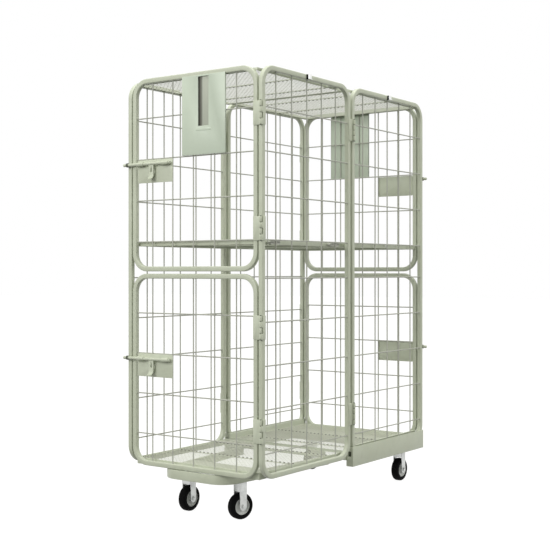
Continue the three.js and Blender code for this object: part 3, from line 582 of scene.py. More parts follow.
def flat_half(span, width, heights, wall, mesh_z, flange, rib_side, cage_side=-1):
    """The pieces of an angle frame, of the round ribs under (-1) or on (1) the mesh, and the diamond mesh."""
    (x0, x1), (y0, y1), (bottom, top) = span, width, heights
    lip = sorted((mesh_z + rib_side * 0.5, mesh_z + rib_side * 2.5))
    rib_z = mesh_z + rib_side * (RIB + 0.2)
    parts = {
        "frame": [flat_ring(x0, x1, y0, y1, wall, bottom, top),
                  flat_ring(x0 + 1, x1 - 1, y0 + 1, y1 - 1, flange, *lip)],
        "mesh": [diamond_mesh(x0 + 1.5, x1 - 1.5, y0 + 1.5, y1 - 1.5, mesh_z)],
        "ribs": [],
    }
    for place in RIB_PLACES:
        x = cage_side * place
        parts["frame"].append(soften_rims(rod((x, y0 + 1, rib_z), (x, y1 - 1, rib_z), RIB, 16), 0.3))
        # The dark dashes lie on the mesh's other side from the rib: painted shade of the rib seen through the
        # mesh.
        parts["ribs"] += rib_shade_dashes(x, y0 + flange, y1 - flange, mesh_z - rib_side)
    return parts


def slim_edge(ring, x, y_spans, strip, heights):
    """Cuts the edge at the middle of the cage down to a strip."""
    (low, high), (bottom, top) = strip, heights
    x0, x1, past = x - 4, x + 4, 2
    for y0, y1 in y_spans:
        carve(ring, block((x0, y0, bottom - past), (x1, y1, low)),
              block((x0, y0, high), (x1, y1, top + past)))


def with_knuckles(parts, knuckle, places):
    """Adds a copy of the moving knuckle at each place, and joins each part into one piece."""
    parts["frame"] += spread(knuckle, places)
    return {name: join(*pieces) for name, pieces in parts.items()}


def deck_half(left):
    """A half of the deck. Both are slim towards the middle of the cage, and the left one is hinged there."""
    if left:
        side, span, middle, places = -1, (-590, -16), -16, deck_places()
        edge_spans = [(-297, -200), (-144, 144), (200, 297)]  # clear of its knuckles
    else:
        side, span, middle, places = 1, (8, 590), 8, []
        edge_spans = [(-297, 297)]
    parts = flat_half(span, (-300.5, 300.5), DECK_Z, wall=3, mesh_z=DECK_MESH, flange=9, rib_side=-1,
                      cage_side=side)
    ring, lip = parts["frame"][:2]
    lip_start, lip_end = sorted((middle - 2 * side, middle + 12 * side))
    carve(lip, block((lip_start, -290, 200), (lip_end, 290, 212)))
    slim_edge(ring, middle, edge_spans, (205.5, 211.3), DECK_Z)
    return with_knuckles(parts, moved(flap_moving(), QUARTER_TURN), places)


def shelf_half():
    """The left half. Its ribs lie under its mesh."""
    width = (SHELF_AXIS[0] + 8, INNER_Y - 8.5)
    parts = flat_half(LEFT_SPAN, width, SHELF_Z, wall=SHEET, mesh_z=SHELF_MESH, flange=12, rib_side=-1)
    return with_knuckles(parts, flap_moving(), flap_places(SHELF_AXIS))


def cover_half():
    """The left half. Its ribs lie on its mesh and show through it from below."""
    width = (COVER_AXIS[0] + 8, INNER_Y - 6.5)
    parts = flat_half(LEFT_SPAN, width, COVER_EDGE, wall=SHEET, mesh_z=COVER_MESH, flange=8, rib_side=1)
    slim_edge(parts["frame"][0], LEFT_SPAN[1], [(width[0] + 5, width[1] - 5.5)], (1679, 1684), COVER_EDGE)
    return with_knuckles(parts, flap_moving(), flap_places(COVER_AXIS))


# Latches and document holders, in the gate's own frame: outward is -Y
def latch_plate(top, bolt_height):
    """The plate on the gate's wires, with two guide tubes on feet."""
    front = -ON_WIRES - LATCH_THICK
    far = LATCH_NEAR + LATCH_WIDTH
    pieces = [leaf_plate((-far, front, top - LATCH_HEIGHT), (-LATCH_NEAR, -ON_WIRES, top), 4)]
    for start in (-LATCH_NEAR - 12, -LATCH_NEAR - 139):
        end = start - GUIDE_LENGTH
        guide = sleeve((end, BOLT_Y, bolt_height), (start, BOLT_Y, bolt_height), BOLT + 0.4, GUIDE, 32)
        foot = block((end, BOLT_Y + GUIDE - 1.2, bolt_height - 4.5), (start, front + 1, bolt_height + 4.5))
        pieces += [soften_rims(guide, 0.5), soften(foot, 0.6)]
    return join(*pieces)


def latch_bolt(height):
    """The bolt rod with its eased ends, and its handle: a forked strap that curls outwards at its foot."""
    tail, tip, handle_x = -105, -345, -200
    half_wide, half_thick, straight_end = 12, 2, height - 46
    bar = soften_rims(rod((tip, BOLT_Y, height), (tail, BOLT_Y, height), BOLT, 32), 1.4, 3)
    strap = block((handle_x - half_wide, BOLT_Y - half_thick, straight_end),
                  (handle_x + half_wide, BOLT_Y + half_thick, height - 2))
    step_faces(strap, facing(2, -1), [(0, (0, -3, -8), 0.9), (0, (0, -8, -6), 1), (0, (0, -8, -1), 1)])
    gap_x, gap_z, gap_reach, gap_drop = handle_x + 1, height - 16, 10, 13
    gap = rod((gap_x, BOLT_Y - gap_reach, gap_z), (gap_x, BOLT_Y + gap_reach, gap_z), 7, 3)
    low_point = min(point.co.z for point in gap.data.vertices)
    pick(gap, "VERT", lambda point: point.co.z < low_point + 0.1 * MM)
    bpy.ops.transform.translate(value=(0, 0, -gap_drop * MM))
    leave_edit()
    carve(strap, gap)
    return join(bar, soften(strap, 1.1, 3, 45))


def bolt_collar(height):
    """The stop collar on the bolt, beside the corner post."""
    start, end, radius = -329, -320, 8.4
    return soften_rims(rod((start, BOLT_Y, height), (end, BOLT_Y, height), radius, 32), 0.8, 3)


def document_holder():
    """A shallow pocket with a slot in its face, and a small ledge under the slot."""
    wall = 1.5
    left, right, top = -49.2, 159.8, 1686
    bottom, under = top - 299.5, CAGE_TOP - TUBE - 2
    back, rear = -ON_TUBE, -ON_WIRES
    front = back - wall
    (slot_left, slot_right), (slot_low, slot_high) = HOLDER_SLOT
    face = block((left, front, bottom), (right, back, top))
    carve(face, block((slot_left, front - 4, slot_low), (slot_right, back + 4, slot_high)))
    pieces = [soften(face, 0.4)]
    inside = front + 0.5
    walls = {
        "back": ((left, rear - wall, bottom), (right, rear, under)),
        "left": ((left, inside, bottom), (left + wall, rear, under)),
        "right": ((right - wall, inside, bottom), (right, rear, under)),
        "floor": ((left, inside, bottom), (right, rear, bottom + wall)),
        "ledge": ((slot_left - 12, front - 0.8, slot_low - 18),
                  (slot_right + 12, front + BITE, slot_low - 8)),
    }
    pieces += [soften(block(low, high), 0.3) for low, high in walls.values()]
    return join(*pieces)


def slot_shadow_sheet():
    """A strip behind the document holder's slot that carries the pocket's painted shade."""
    front, back = -LAYER - WIRE - 2.5, -LAYER - WIRE - 1.7
    (slot_left, slot_right), (slot_low, slot_high) = HOLDER_SLOT
    return soften(block((slot_left - 8.8, front, slot_low - 6), (slot_right + 5.2, back, slot_high + 4)), 0.3)


# Base
def side_beam():
    """The deep beam at -Y: folded walls, an open top with a narrow flange, and a slot in its left end."""
    x0, x1, past = 5.7, OUTER_X, 5
    gate_room_x, gate_room_y, gate_room_low = INNER_X - BEAM_LAP, -INNER_Y + 4.5 - BEAM_LAP, 183
    beam = block((x0, -BEAM_OUTER, BASE_LOW), (x1, -BEAM_INNER, BEAM_TOP))
    step_faces(beam, facing(2, 1), [(SHEET, (0, 0, -(BEAM_TOP - BASE_LOW - SHEET)), 1)])
    notch = block((gate_room_x, gate_room_y, gate_room_low), (x1 + past, -BEAM_INNER + past, BEAM_TOP + past))
    middle, slot_half, slot_low, slot_high = -(BEAM_OUTER + BEAM_INNER) / 2, 7, 190, 211
    slot = block((x0 - past, middle - slot_half, slot_low), (x0 + past, middle + slot_half, slot_high))
    carve(beam, notch, slot)
    flange = block((x0 + 1, -BEAM_INNER - SHEET - 7.4, BEAM_TOP - SHEET),
                   (gate_room_x, -BEAM_INNER - 1, BEAM_TOP - 0.1))
    return join(soften(beam, 1.6, 3), soften(flange, 0.8))


def cross_member(x0, x1, low):
    """A channel across the base, open downwards."""
    reach = BEAM_INNER + BEAM_LAP
    piece = block((x0, -reach, low), (x1, reach, BASE_TOP))
    step_faces(piece, facing(2, -1), [(SHEET, (0, 0, BASE_TOP - low - SHEET), 1)])
    return soften(piece, 1.6, 3)


def base_frame():
    """Two beams, two cross-members and the fixed leaves of the deck hinges."""
    front = side_beam()
    back = mirrored(copied(front), (0, 1, 0))
    pieces = [front, back, cross_member(*MIDDLE_MEMBER), cross_member(OUTER_X - 123, OUTER_X, BASE_LOW)]
    pieces += spread(moved(flap_fixed(10.5, -13.6), QUARTER_TURN), deck_places())
    return join(*pieces)


def tongue():
    """A bent channel that flares towards the middle, and the plate that both left casters hang from.

    It is made as a longer rectangle, spread at its right end, and cut off at the middle of the cage."""
    left, right, past, half, flare = -614, -2.3, 60, 160, 0.1013
    bend, flange = 72.3, 10
    piece = flat_start(past - left, 2 * half, ((left + past) / 2, 0, BASE_TOP))
    wide = 1 + (past - left) * flare / half
    stretch_points(piece, lambda point: point.co.x > 0, (1, wide, 1), (past, 0, BASE_TOP))
    pick(piece, "VERT", lambda point: point.co.x < 0)
    bpy.ops.mesh.bevel(affect="VERTICES", offset=bend * MM, segments=BEND_STEPS)
    bpy.ops.mesh.select_all(action="SELECT")
    bpy.ops.mesh.extrude_region_move(TRANSFORM_OT_translate={"value": (0, 0, (BASE_LOW - BASE_TOP) * MM)})
    leave_edit()
    close_up(piece)
    pick(piece, "FACE", lambda face: abs(face.normal.z) > ALIGNED)
    bpy.ops.mesh.inset(thickness=flange * MM, use_even_offset=True)
    bpy.ops.mesh.delete(type="FACE")
    bpy.ops.mesh.select_all(action="SELECT")
    bpy.ops.mesh.bisect(plane_co=(right * MM, 0, 0), plane_no=(1, 0, 0), clear_outer=True)
    leave_edit()
    finish_modifier(piece, "SOLIDIFY", thickness=SHEET * MM, offset=-1, use_even_offset=True)
    soften_rims(piece, 1.4, 3)
    plate_left, plate_right, plate_half, plate_top = -499, -399, 165, BASE_TOP - 0.1
    plate = block((plate_left, -plate_half, plate_top - SHEET), (plate_right, plate_half, plate_top))
    stretch_points(plate, lambda point: point.co.x > (plate_left + plate_right) / 2 * MM, (1, 1.06, 1),
                   (plate_right, 0, plate_top))
    return join(piece, soften(plate, 0.6))


# Casters, about their own swivel axis, with the wheel trailing towards -X
def caster_head():
    """The top plate with its four bolt heads, the swivel race and the king pin with its nut."""
    under, top, inside = 179.7, 182.7, 180
    plate = leaf_plate((-40, -35, under), (40, 35, top), 6)
    race = soften_rims(rod((0, 0, FORK_TOP + 8.3), (0, 0, inside), RACE, 48), 1.6, 3)
    king = rod((0, 0, FORK_TOP - 4.4), (0, 0, FORK_TOP + 16), 6, 24)
    nut = soften(rod((0, 0, FORK_TOP - 7.1), (0, 0, FORK_TOP - 4.1), 8.5, 6), 0.5)
    bolt_heads = [soften(rod((x, y, under - 3.3), (x, y, inside), 5.2, 6), 0.5)
                  for x in (-30, 30) for y in (-26, 26)]
    return join(plate, race, king, nut, *bolt_heads)


def caster_fork():
    """Two straight legs, rounded round the axle, under a plate with a race, and a folded web on each side."""
    inner = WHEEL_HALF + 2.6
    outer = inner + 3
    leg_half = 15.5
    x0, x1 = -TRAIL - leg_half, -TRAIL + leg_half
    pieces = []
    for y0, y1 in ((-outer, -inner), (inner, outer)):
        leg = block((x0, y0, WHEEL - leg_half), (x1, y1, FORK_TOP - 0.4))
        round_edges(leg, lambda edge: runs_along(edge, 1) and mean_point(edge).z < WHEEL * MM,
                    leg_half - 0.1, 12)
        pieces.append(soften(leg, 0.6, 2, 40))
    for start in (x0, x1 - 3):
        web = block((start, -outer + 0.2, WHEEL + 56), (start + 3, outer - 0.2, FORK_TOP - 0.2))
        pieces.append(soften(web, 1.2, 3))
    plate = block((x0, -outer, FORK_TOP - 3.8), (RACE, outer, FORK_TOP))
    round_edges(plate, lambda edge: runs_along(edge, 2) and mean_point(edge).x > 0, 14, 8)
    race = rod((0, 0, FORK_TOP - 0.5), (0, 0, FORK_TOP + 8), RACE, 48)
    return join(*pieces, soften(plate, 0.8, 2, 40), soften_rims(race, 2.2, 4))


def caster_axle():
    """The axle bolt with a washer at each end, a hexagon head and a nut with the bolt's end in it."""
    shank = 22.6
    pieces = [rod((-TRAIL, -shank - 7, WHEEL), (-TRAIL, shank + 3, WHEEL), 5, 24)]
    for side in (-1, 1):
        washer = rod((-TRAIL, side * (shank + 0.2), WHEEL), (-TRAIL, side * (shank + 1.4), WHEEL), 10, 32)
        head = rod((-TRAIL, side * (shank + 1.3), WHEEL), (-TRAIL, side * (shank + 6), WHEEL), 8.5, 6)
        pieces += [soften_rims(washer, 0.3), soften(head, 0.7)]
    return soften_rims(join(*pieces), 0.2, 1)


def caster_tyre():
    """A solid tyre with rounded shoulders."""
    shoulder, rim_gap = 9, 0.3
    piece = rod((-TRAIL, -WHEEL_HALF, WHEEL), (-TRAIL, WHEEL_HALF, WHEEL), WHEEL, 72)
    side = (WHEEL_HALF - 0.1) * MM
    round_edges(piece, lambda edge: all(abs(point.co.y) > side for point in edge.verts), shoulder, 7)
    pick(piece, "FACE", lambda face: abs(face.normal.y) > ALIGNED and len(face.verts) > 20)
    bpy.ops.mesh.inset(thickness=(WHEEL - shoulder - RIM - rim_gap) * MM, use_even_offset=True)
    bpy.ops.mesh.bridge_edge_loops()
    leave_edit()
    return soften_rims(piece, 0.8)


def caster_hub():
    """A wheel centre with a rim ring, a recessed web and a boss."""
    piece = rod((-TRAIL, -15.5, WHEEL), (-TRAIL, 15.5, WHEEL), RIM, 72)
    for side in (-1, 1):
        profile = ((3.4, -6.5), (0.8, 0), (15, 3), (1.5, 5))
        step_faces(piece, facing(1, side), [(inset, (0, rise * side, 0), 1) for inset, rise in profile])
    return soften(piece, 0.7)


# Small pieces on the side panels, in a panel's own frame: outward is -Y
def hook_clip():
    """A strap bent over the top tube, with a lip at the foot of its outer leg."""
    half, thick, low, top, past = 15, 2, CAGE_TOP - 17, CAGE_TOP + STAND_OFF, 5
    strap = block((-half, -ON_TUBE - thick, low), (half, ON_TUBE + thick, top + thick))
    tube_room = block((-half - past, -ON_TUBE, low - past), (half + past, ON_TUBE, top))
    short_leg = block((-half - past, ON_TUBE - 1, low - past), (half + past, ON_TUBE + past, low + 4))
    carve(strap, tube_room, short_leg)
    lip = block((-half, -ON_TUBE - 7, low), (half, -ON_TUBE - 0.6, low + thick))
    return join(soften(strap, 0.9, 3), soften(lip, 0.7, 3))


def clip_shadow_strip():
    """A black strip beside a hook clip: painted shade for the clip's shadowed side."""
    left, right, low, high = -19.5, -15.2, CAGE_TOP - 20, CAGE_TOP - 1
    return soften(block((left, -ON_TUBE - 6, low), (right, -ON_TUBE + 0.1, high)), 0.7, 3)


def d_ring():
    """A round bar that is spun into a bow, stretched downwards and closed with a straight bar."""
    thick, half, fall, top = 1.5, 7.5, 11, 1064
    only()
    bpy.ops.mesh.primitive_circle_add(vertices=16, radius=thick * MM, location=(half * MM, 0, 0),
                                      fill_type="NGON")
    bow = settle(bpy.context.object)
    pick(bow, "FACE", every)
    bpy.ops.mesh.spin(steps=18, angle=math.pi, axis=(0, 1, 0), center=(0, 0, 0))
    leave_edit()
    close_up(bow)
    hangs = min(point.co.z for point in bow.data.vertices) < -half * MM / 2
    moved(bow, Matrix.Scale(fall / half if hangs else -fall / half, 4, (0, 0, 1)))
    close_up(bow)
    bar = soften_rims(rod((-half - thick, 0, 0), (half + thick, 0, 0), thick, 16), 0.6)
    return moved(join(bow, bar), at(0, ON_WIRES + thick, top - thick))


# Finishes
class Signal:
    """One output among the nodes. Python's signs on it add Math nodes."""

    def __init__(self, recipe, socket):
        self.recipe = recipe
        self.socket = socket

    def combine(self, operation, first, second=0):
        return self.recipe.node("ShaderNodeMath", {"operation": operation, "use_clamp": False},
                                {0: first, 1: second})

    def __add__(self, other):
        return self.combine("ADD", self, other)

    def __sub__(self, other):
        return self.combine("SUBTRACT", self, other)

    def __rsub__(self, other):
        return self.combine("SUBTRACT", other, self)

    def __mul__(self, other):
        return self.combine("MULTIPLY", self, other)

    def __abs__(self):
        return self.combine("ABSOLUTE", self)

    __radd__ = __add__
    __rmul__ = __mul__


class Recipe:
    """The nodes of a material or of the world, in the making."""

    def __init__(self, tree):
        self.tree = tree
        tree.nodes.clear()

    def node(self, kind, settings=None, inputs=None, output=0, stops=()):
        made = self.tree.nodes.new(kind)
        for setting, value in (settings or {}).items():
            setattr(made, setting, value)
        for index, (position, shade) in enumerate(stops):
            ramp = made.color_ramp.elements
            stop = ramp[index] if index < len(ramp) else ramp.new(position)
            stop.position = position
            stop.color = (shade, shade, shade, 1)
        for name, value in (inputs or {}).items():
            if isinstance(value, Signal):
                self.tree.links.new(value.socket, made.inputs[name])
            else:
                made.inputs[name].default_value = value
        return Signal(self, made.outputs[output])

    def in_view(self):
        """1 to the camera and in reflections, 0 to the light that falls on the cage."""
        camera, glossy, transmission = [self.node("ShaderNodeLightPath", output=f"Is {kind} Ray")
                                        for kind in ("Camera", "Glossy", "Transmission")]
        return camera + glossy + transmission

    def shows(self, shader, output="ShaderNodeOutputMaterial"):
        out = self.tree.nodes.new(output)
        self.tree.links.new(shader.socket, out.inputs["Surface"])


class Finish(Recipe):
    """A procedural material in the making."""

    def __init__(self, name):
        self.material = bpy.data.materials.new(name)
        self.material.use_nodes = True
        super().__init__(self.material.node_tree)
        self.place = self.node("ShaderNodeTexCoord", output="Object")

    def noise(self, scale, detail=2.0, stretch=None):
        place = self.place
        if stretch:
            place = self.node("ShaderNodeMapping", None, {"Vector": place, "Scale": stretch})
        return self.node("ShaderNodeTexNoise", None, {"Vector": place, "Scale": scale, "Detail": detail})

    def ramp(self, factor, *stops):
        return self.node("ShaderNodeValToRGB", None, {"Fac": factor}, stops=stops)

    def mix(self, factor, first, second):
        return self.node("ShaderNodeMix", {"data_type": "RGBA"}, {0: factor, 6: first, 7: second}, 2)

    def bump(self, height, distance, strength=1.0, normal=None):
        inputs = {"Height": height, "Distance": distance * MM, "Strength": strength}
        if normal:
            inputs["Normal"] = normal
        return self.node("ShaderNodeBump", None, inputs)

    def edges(self, low, high):
        """Sharp outer edges of the mesh, from 0 to 1."""
        point = self.node("ShaderNodeNewGeometry", output="Pointiness")
        return self.ramp(point, (low, 0), (high, 1))

    def surface(self, **inputs):
        names = {key.replace("_", " "): value for key, value in inputs.items()}
        self.shows(self.node("ShaderNodeBsdfPrincipled", None, names))
        return self.material


def shade(red, green, blue):
    """A colour from the screen's 0 to 255, as the shader's linear numbers."""
    def linear(value):
        value /= 255
        return value / 12.92 if value <= 0.04045 else ((value + 0.055) / 1.055) ** 2.4
    return (linear(red), linear(green), linear(blue), 1)


def powder_coat(name, low, high, marks=0.3):
    """Satin powder coat between two tones: fine peel, faint clouding, handling marks, and sharp edges made
    paler, partly as worn paint and partly as painted highlight.
    """
    finish = Finish(name)
    cloud = finish.noise(7, 3)
    patch = finish.noise(38, 4)
    speck = finish.noise(420, 2)
    marked, worn = [value * 0.92 for value in low], [value * 0.87 for value in low]
    edge_wear_and_highlight = [min(255, value * 1.14) for value in high]
    colour = finish.mix(finish.ramp(cloud, (0.3, 0), (0.7, 1)), shade(*low), shade(*high))
    colour = finish.mix(finish.ramp(patch, (0.52, 0), (0.75, marks)), colour, shade(*marked))
    colour = finish.mix(finish.ramp(speck, (0.6, 0), (0.8, 0.22)), colour, shade(*worn))
    # Paler sharp edges: partly worn paint, partly painted highlight.
    colour = finish.mix(finish.edges(0.53, 0.62) * 0.35, colour, shade(*edge_wear_and_highlight))
    rough = 0.40 + 0.14 * patch + 0.06 * speck
    peel = finish.bump(finish.noise(700, 1), 0.05, 0.5)
    relief = finish.bump(cloud, 0.4, 0.1, peel)
    return finish.surface(Base_Color=colour, Roughness=rough, Metallic=0.0, IOR=1.5, Normal=relief,
                          Coat_Weight=0.18, Coat_Roughness=0.2)


def slot_painted_shade():
    """Painted shade for the document holder's slot: dark on the side that the slot leaves deep, where the
    pocket's shadow falls, pale on the other, with random patches.
    """
    dark_side, fade = 26.5 * MM, 50 * MM
    finish = Finish("slot_shadow_sheet")
    across = finish.node("ShaderNodeSeparateXYZ", None, {"Vector": finish.place}, "Y")
    # Across the slot from dark to pale: painted shade of the pocket.
    depth = (abs(across) - dark_side) * (1 / fade)
    patch = finish.noise(60, 3)
    tone = finish.ramp(depth + 0.05 * patch, (0.16, 0), (0.38, 0.3), (0.5, 0.95), (1, 1))
    colour = finish.mix(tone, shade(58, 56, 47), shade(176, 181, 167))
    return finish.surface(Base_Color=colour, Roughness=0.6 + 0.2 * patch, Normal=finish.bump(patch, 0.1, 0.4))


def bright_zinc(name, low, high):
    """Zinc plate between two tones: a faint crystal pattern, rolling streaks and dulled patches."""
    finish = Finish(name)
    crystal = finish.node("ShaderNodeTexVoronoi", {"feature": "F1"}, {"Vector": finish.place, "Scale": 160},
                          "Distance")
    patch = finish.noise(30, 4)
    streak = finish.noise(90, 2, (1, 1, 9))
    colour = finish.mix(finish.ramp(patch, (0.35, 0), (0.7, 1)), shade(*high), shade(*low))
    colour = finish.mix(finish.ramp(crystal, (0.1, 0), (0.8, 0.3)), colour, shade(222, 224, 222))
    rough = 0.24 + 0.16 * patch + 0.06 * streak
    relief = finish.bump(streak, 0.05, 0.4)
    return finish.surface(Base_Color=colour, Roughness=rough, Metallic=0.85, Normal=relief)


def tyre_rubber():
    """Black rubber with dust in its grain and a scuffed tread."""
    finish = Finish("tyre_rubber")
    grain = finish.noise(520, 3)
    dust = finish.noise(26, 5)
    colour = finish.mix(finish.ramp(dust, (0.5, 0), (0.85, 0.3)), shade(2, 2, 2), shade(9, 9, 9))
    return finish.surface(Base_Color=colour, Roughness=0.6 + 0.25 * dust, Specular_IOR_Level=0.08,
                          Normal=finish.bump(grain, 0.08, 0.5))


def wheel_centre():
    """Grey moulded wheel centre, patched with a duller grey, its sharp edges made paler as painted highlight.
    """
    finish = Finish("wheel_centre")
    grain = finish.noise(300, 3)
    patch = finish.noise(40, 4)
    colour = finish.mix(finish.ramp(patch, (0.4, 0), (0.7, 1)), shade(216, 218, 216), shade(200, 203, 201))
    # Paler sharp edges: painted highlight on the rims.
    colour = finish.mix(finish.edges(0.52, 0.6) * 0.5, colour, shade(214, 216, 214))
    return finish.surface(Base_Color=colour, Roughness=0.38 + 0.16 * patch,
                          Normal=finish.bump(grain, 0.06, 0.4))


def dark_shade_steel():
    """Dark steel of the hinge pins and of a bolt's stop collar, with random patches: painted shade, for the
    dark gaps between hinge knuckles and the shadow on the bolt beside the corner post.
    """
    finish = Finish("pin_and_collar_painted_shade")
    patch = finish.noise(120, 3)
    colour = finish.mix(patch, shade(58, 62, 54), shade(92, 96, 84))
    return finish.surface(Base_Color=colour, Roughness=0.4 + 0.2 * patch, Metallic=0.6,
                          Normal=finish.bump(patch, 0.1, 0.4))


PAINT = powder_coat("powder_coat", (184, 190, 169), (191, 197, 178))
HOLDER_PAINT = powder_coat("holder_coat", (186, 197, 179), (189, 200, 183), 0.15)
WIRE_PAINT = powder_coat("wire_coat", (166, 168, 157), (174, 176, 165))
MESH_PAINT = powder_coat("mesh_coat", (170, 173, 157), (180, 183, 167))
# The deck's mesh is the same coat made paler: painted light, for the top light on its strands.
DECK_LIT_PAINT = powder_coat("deck_mesh_painted_light", (206, 209, 192), (214, 217, 201))
# Dark coat of the dashes along the ribs: painted shade.
RIB_SHADE_PAINT = powder_coat("rib_shade_coat", (84, 86, 73), (96, 98, 84))
ZINC = bright_zinc("bright_zinc", (182, 184, 182), (206, 208, 206))
CLIP_ZINC = bright_zinc("clip_zinc", (228, 230, 227), (244, 245, 242))
RUBBER, CENTRE, SHADE_STEEL, SLOT_SHADOW_PAINT = tyre_rubber(), wheel_centre(), dark_shade_steel(), slot_painted_shade()
BODY_OF = {node: body for body, nodes in frame["record"]["behaviour"]["bodies"].items() for node in nodes}


def dress(piece, name, node, finish=PAINT):
    """Names the piece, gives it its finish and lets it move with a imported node's body."""
    piece.name = name
    piece.data.name = name
    piece.data.materials.clear()
    piece.data.materials.append(finish)
    smooth(piece)
    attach(piece, BODY_OF[node])
    return piece


def stand_in(piece, node, finish=PAINT):
    """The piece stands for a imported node."""
    dress(piece, f"{node}_detail", node, finish)
    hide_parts(node)
    return piece


def turned_too(pieces):
    """The same pieces on the other side of the cage."""
    return [copied(piece, TURNED) for piece in pieces]


# Side panels
loop = tube_loop(PANEL_HALF, PANEL_BOTTOM, CAGE_TOP)
grid = wire_grid(PANEL_HALF, PANEL_BOTTOM, CAGE_TOP, PANEL_UPRIGHTS, LOW_ROWS + HIGH_ROWS, False)
end_leaves = [moved(gate_hinge_fixed(height), NEAR) for height in HINGE_HEIGHTS]
end_leaves += spread(flap_fixed(12.8, -1.5), flap_places(COVER_AXIS))
shelf_leaves = spread(flap_fixed(14.5, -7), flap_places(SHELF_AXIS))
frame_leaves = {
    "front_left": end_leaves + fold_hinges(False, -1),
    "back_right": turned_too(end_leaves) + fold_hinges(True, 1),
    "front_right": fold_hinges(True, -1),
    "back_left": fold_hinges(False, 1),
}
wire_leaves = {"front_left": shelf_leaves, "back_right": turned_too(shelf_leaves)}
corner_pins = [moved(gate_pin(height), NEAR) for height in HINGE_HEIGHTS]
frame_pins = {
    "front_left": corner_pins,
    "back_right": turned_too(corner_pins) + fold_pins(1),
    "front_right": fold_pins(-1),
}
for panel, place in PANELS.items():
    stand_in(join(copied(loop, place), *frame_leaves[panel]), f"{panel}_frame")
    stand_in(join(copied(grid, place), *wire_leaves.get(panel, [])), f"{panel}_wires", WIRE_PAINT)
    if panel in frame_pins:
        # The pins are dark as painted shade in the gaps between knuckles.
        dress(join(*frame_pins[panel]), f"{panel}_hinge_pins", f"{panel}_frame", SHADE_STEEL)
drop(loop, grid)

# Gates
levels = {
    "upper": (SPLIT_HIGH, CAGE_TOP, HIGH_ROWS, UPPER_HINGES),
    "lower": (PANEL_BOTTOM, SPLIT_LOW, LOW_GATE_ROWS, LOWER_HINGES),
}
for level, (low, high, rows, hinges) in levels.items():
    parts = {
        "frame": join(tube_loop(GATE_HALF, low, high), *[gate_hinge_moving(height) for height in hinges]),
        "wires": wire_grid(GATE_HALF, low, high, GATE_UPRIGHTS, rows, True),
        "latch_plate": latch_plate(LATCH_TOPS[level], BOLT_HEIGHTS[level]),
        "bolt": latch_bolt(BOLT_HEIGHTS[level]),
    }
    # The stop collar is dark as painted shade beside the corner post.
    extras = {"bolt_collar": ("bolt", bolt_collar(BOLT_HEIGHTS[level]), SHADE_STEEL)}
    if level == "upper":
        parts["document_holder"] = document_holder()
        # The strip behind the slot carries painted shade.
        extras["slot_shadow_sheet"] = ("document_holder", slot_shadow_sheet(), SLOT_SHADOW_PAINT)
    for part, piece in parts.items():
        finish = {"wires": WIRE_PAINT, "document_holder": HOLDER_PAINT}.get(part, PAINT)
        stand_in(copied(piece, FAR), f"far_{level}_gate_{part}", finish)
        stand_in(moved(piece, NEAR), f"near_{level}_gate_{part}", finish)
    for extra, (part, piece, finish) in extras.items():
        dress(copied(piece, FAR), f"far_{level}_gate_{extra}", f"far_{level}_gate_{part}", finish)
        dress(moved(piece, NEAR), f"near_{level}_gate_{extra}", f"near_{level}_gate_{part}", finish)


# Deck, shelf and cover
def lay_flat(parts, node, mesh_finish=MESH_PAINT):
    stand_in(parts["frame"], node)
    dress(parts["mesh"], f"{node}_mesh", node, mesh_finish)
    # The dashes are dark as painted shade.
    dress(parts["ribs"], f"{node}_rib_shade", node, RIB_SHADE_PAINT)


lay_flat(deck_half(True), "deck_left", DECK_LIT_PAINT)
lay_flat(deck_half(False), "deck_right", DECK_LIT_PAINT)
for flat, make in (("shelf", shelf_half), ("cover", cover_half)):
    left = make()
    lay_flat({name: copied(piece, TURNED) for name, piece in left.items()}, f"{flat}_right")
    lay_flat(left, f"{flat}_left")

# Base and casters
stand_in(base_frame(), "base_frame")
stand_in(tongue(), "tongue")
caster_parts = {
    "head": (caster_head(), ZINC),
    "fork": (caster_fork(), ZINC),
    "axle": (caster_axle(), ZINC),
    "tyre": (caster_tyre(), RUBBER),
    "hub": (caster_hub(), CENTRE),
}
for part, (piece, finish) in caster_parts.items():
    for name, (x, y, turn) in CASTERS.items():
        stand_in(copied(piece, at(x, y, 0, 0 if part == "head" else turn)), f"{name}_caster_{part}", finish)
    drop(piece)

# Hook clips and D-rings
clip, shadow_strip, ring = hook_clip(), clip_shadow_strip(), d_ring()
for panel in ("front_left", "front_right", "back_left"):
    stand_in(copied(clip, PANELS[panel]), f"{panel}_hook_clip", CLIP_ZINC)
    # A black strip of painted shade beside each clip.
    dress(copied(shadow_strip, PANELS[panel]), f"{panel}_clip_shadow_strip", f"{panel}_hook_clip", RUBBER)
for panel in ("front_right", "back_left"):
    stand_in(copied(ring, PANELS[panel]), f"{panel}_d_ring", ZINC)
drop(clip, shadow_strip, ring)


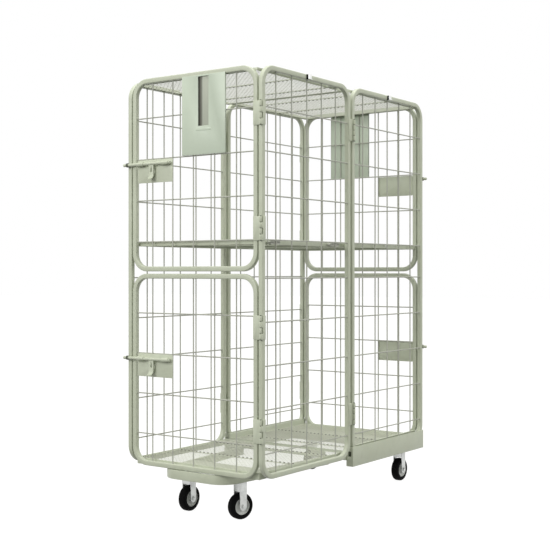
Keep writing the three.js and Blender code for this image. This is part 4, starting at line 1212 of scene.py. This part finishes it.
# Stage, in metres: white floor, soft light from three sides, and the photograph's camera
def white_floor():
    """White to the camera and in reflections, plain grey to the light that falls on the cage."""
    finish = Finish("floor_white")
    matt = finish.node("ShaderNodeBsdfDiffuse", None, {"Color": (0.13, 0.13, 0.13, 1)})
    glow = finish.node("ShaderNodeEmission", None, {"Color": (1, 1, 1, 1), "Strength": 0.95})
    both = finish.node("ShaderNodeAddShader", None, {0: matt, 1: glow})
    finish.shows(finish.node("ShaderNodeMixShader", None, {0: finish.in_view(), 1: matt, 2: both}))
    return finish.material


def studio():
    """A white backdrop to the camera, and a softer, slightly warm light on the cage."""
    world = bpy.data.worlds.new("studio")
    world.use_nodes = True
    sky = Recipe(world.node_tree)
    soft = sky.node("ShaderNodeBackground", None, {"Color": (1, 0.995, 0.93, 1), "Strength": 0.8})
    backdrop = sky.node("ShaderNodeBackground", None, {"Color": (1, 1, 1, 1), "Strength": 1})
    blend = sky.node("ShaderNodeMixShader", None, {0: sky.in_view(), 1: soft, 2: backdrop})
    sky.shows(blend, "ShaderNodeOutputWorld")
    return world


def soft_light(name, place, target, size, power):
    lamp = bpy.data.lights.new(name, "AREA")
    lamp.shape = "DISK"
    lamp.size = size
    lamp.energy = power
    holder = bpy.data.objects.new(name, lamp)
    bpy.context.scene.collection.objects.link(holder)
    holder.location = place
    holder.rotation_euler = (Vector(target) - Vector(place)).to_track_quat("-Z", "Y").to_euler()


only()
bpy.ops.mesh.primitive_plane_add(size=60, location=(0, 0, 0))
floor = bpy.context.object
floor.name = "floor"
floor.data.materials.append(white_floor())
bpy.context.scene.world = studio()
soft_light("top_light", (-0.4, -0.5, 5.2), (0, 0, 0.8), 3.5, 110)
soft_light("left_light", (-5.0, 1.2, 3.2), (0, 0, 0.9), 3.0, 120)
soft_light("front_light", (1.6, -5.2, 2.6), (0, 0, 0.9), 3.0, 60)

VIEW_X, VIEW_Y = 0.8121, 0.5835
camera_data = bpy.data.cameras.new("camera")
camera_data.lens = 70.88
camera_data.sensor_width = 36
camera_data.shift_y = -0.0071
camera = bpy.data.objects.new("camera", camera_data)
bpy.context.scene.collection.objects.link(camera)
camera.location = (-3.7574, -2.6465, 0.9472)
camera.rotation_euler = (math.pi / 2, 0, -math.atan2(VIEW_X, VIEW_Y))
bpy.context.scene.camera = camera
bpy.context.scene.view_settings.view_transform = "Standard"
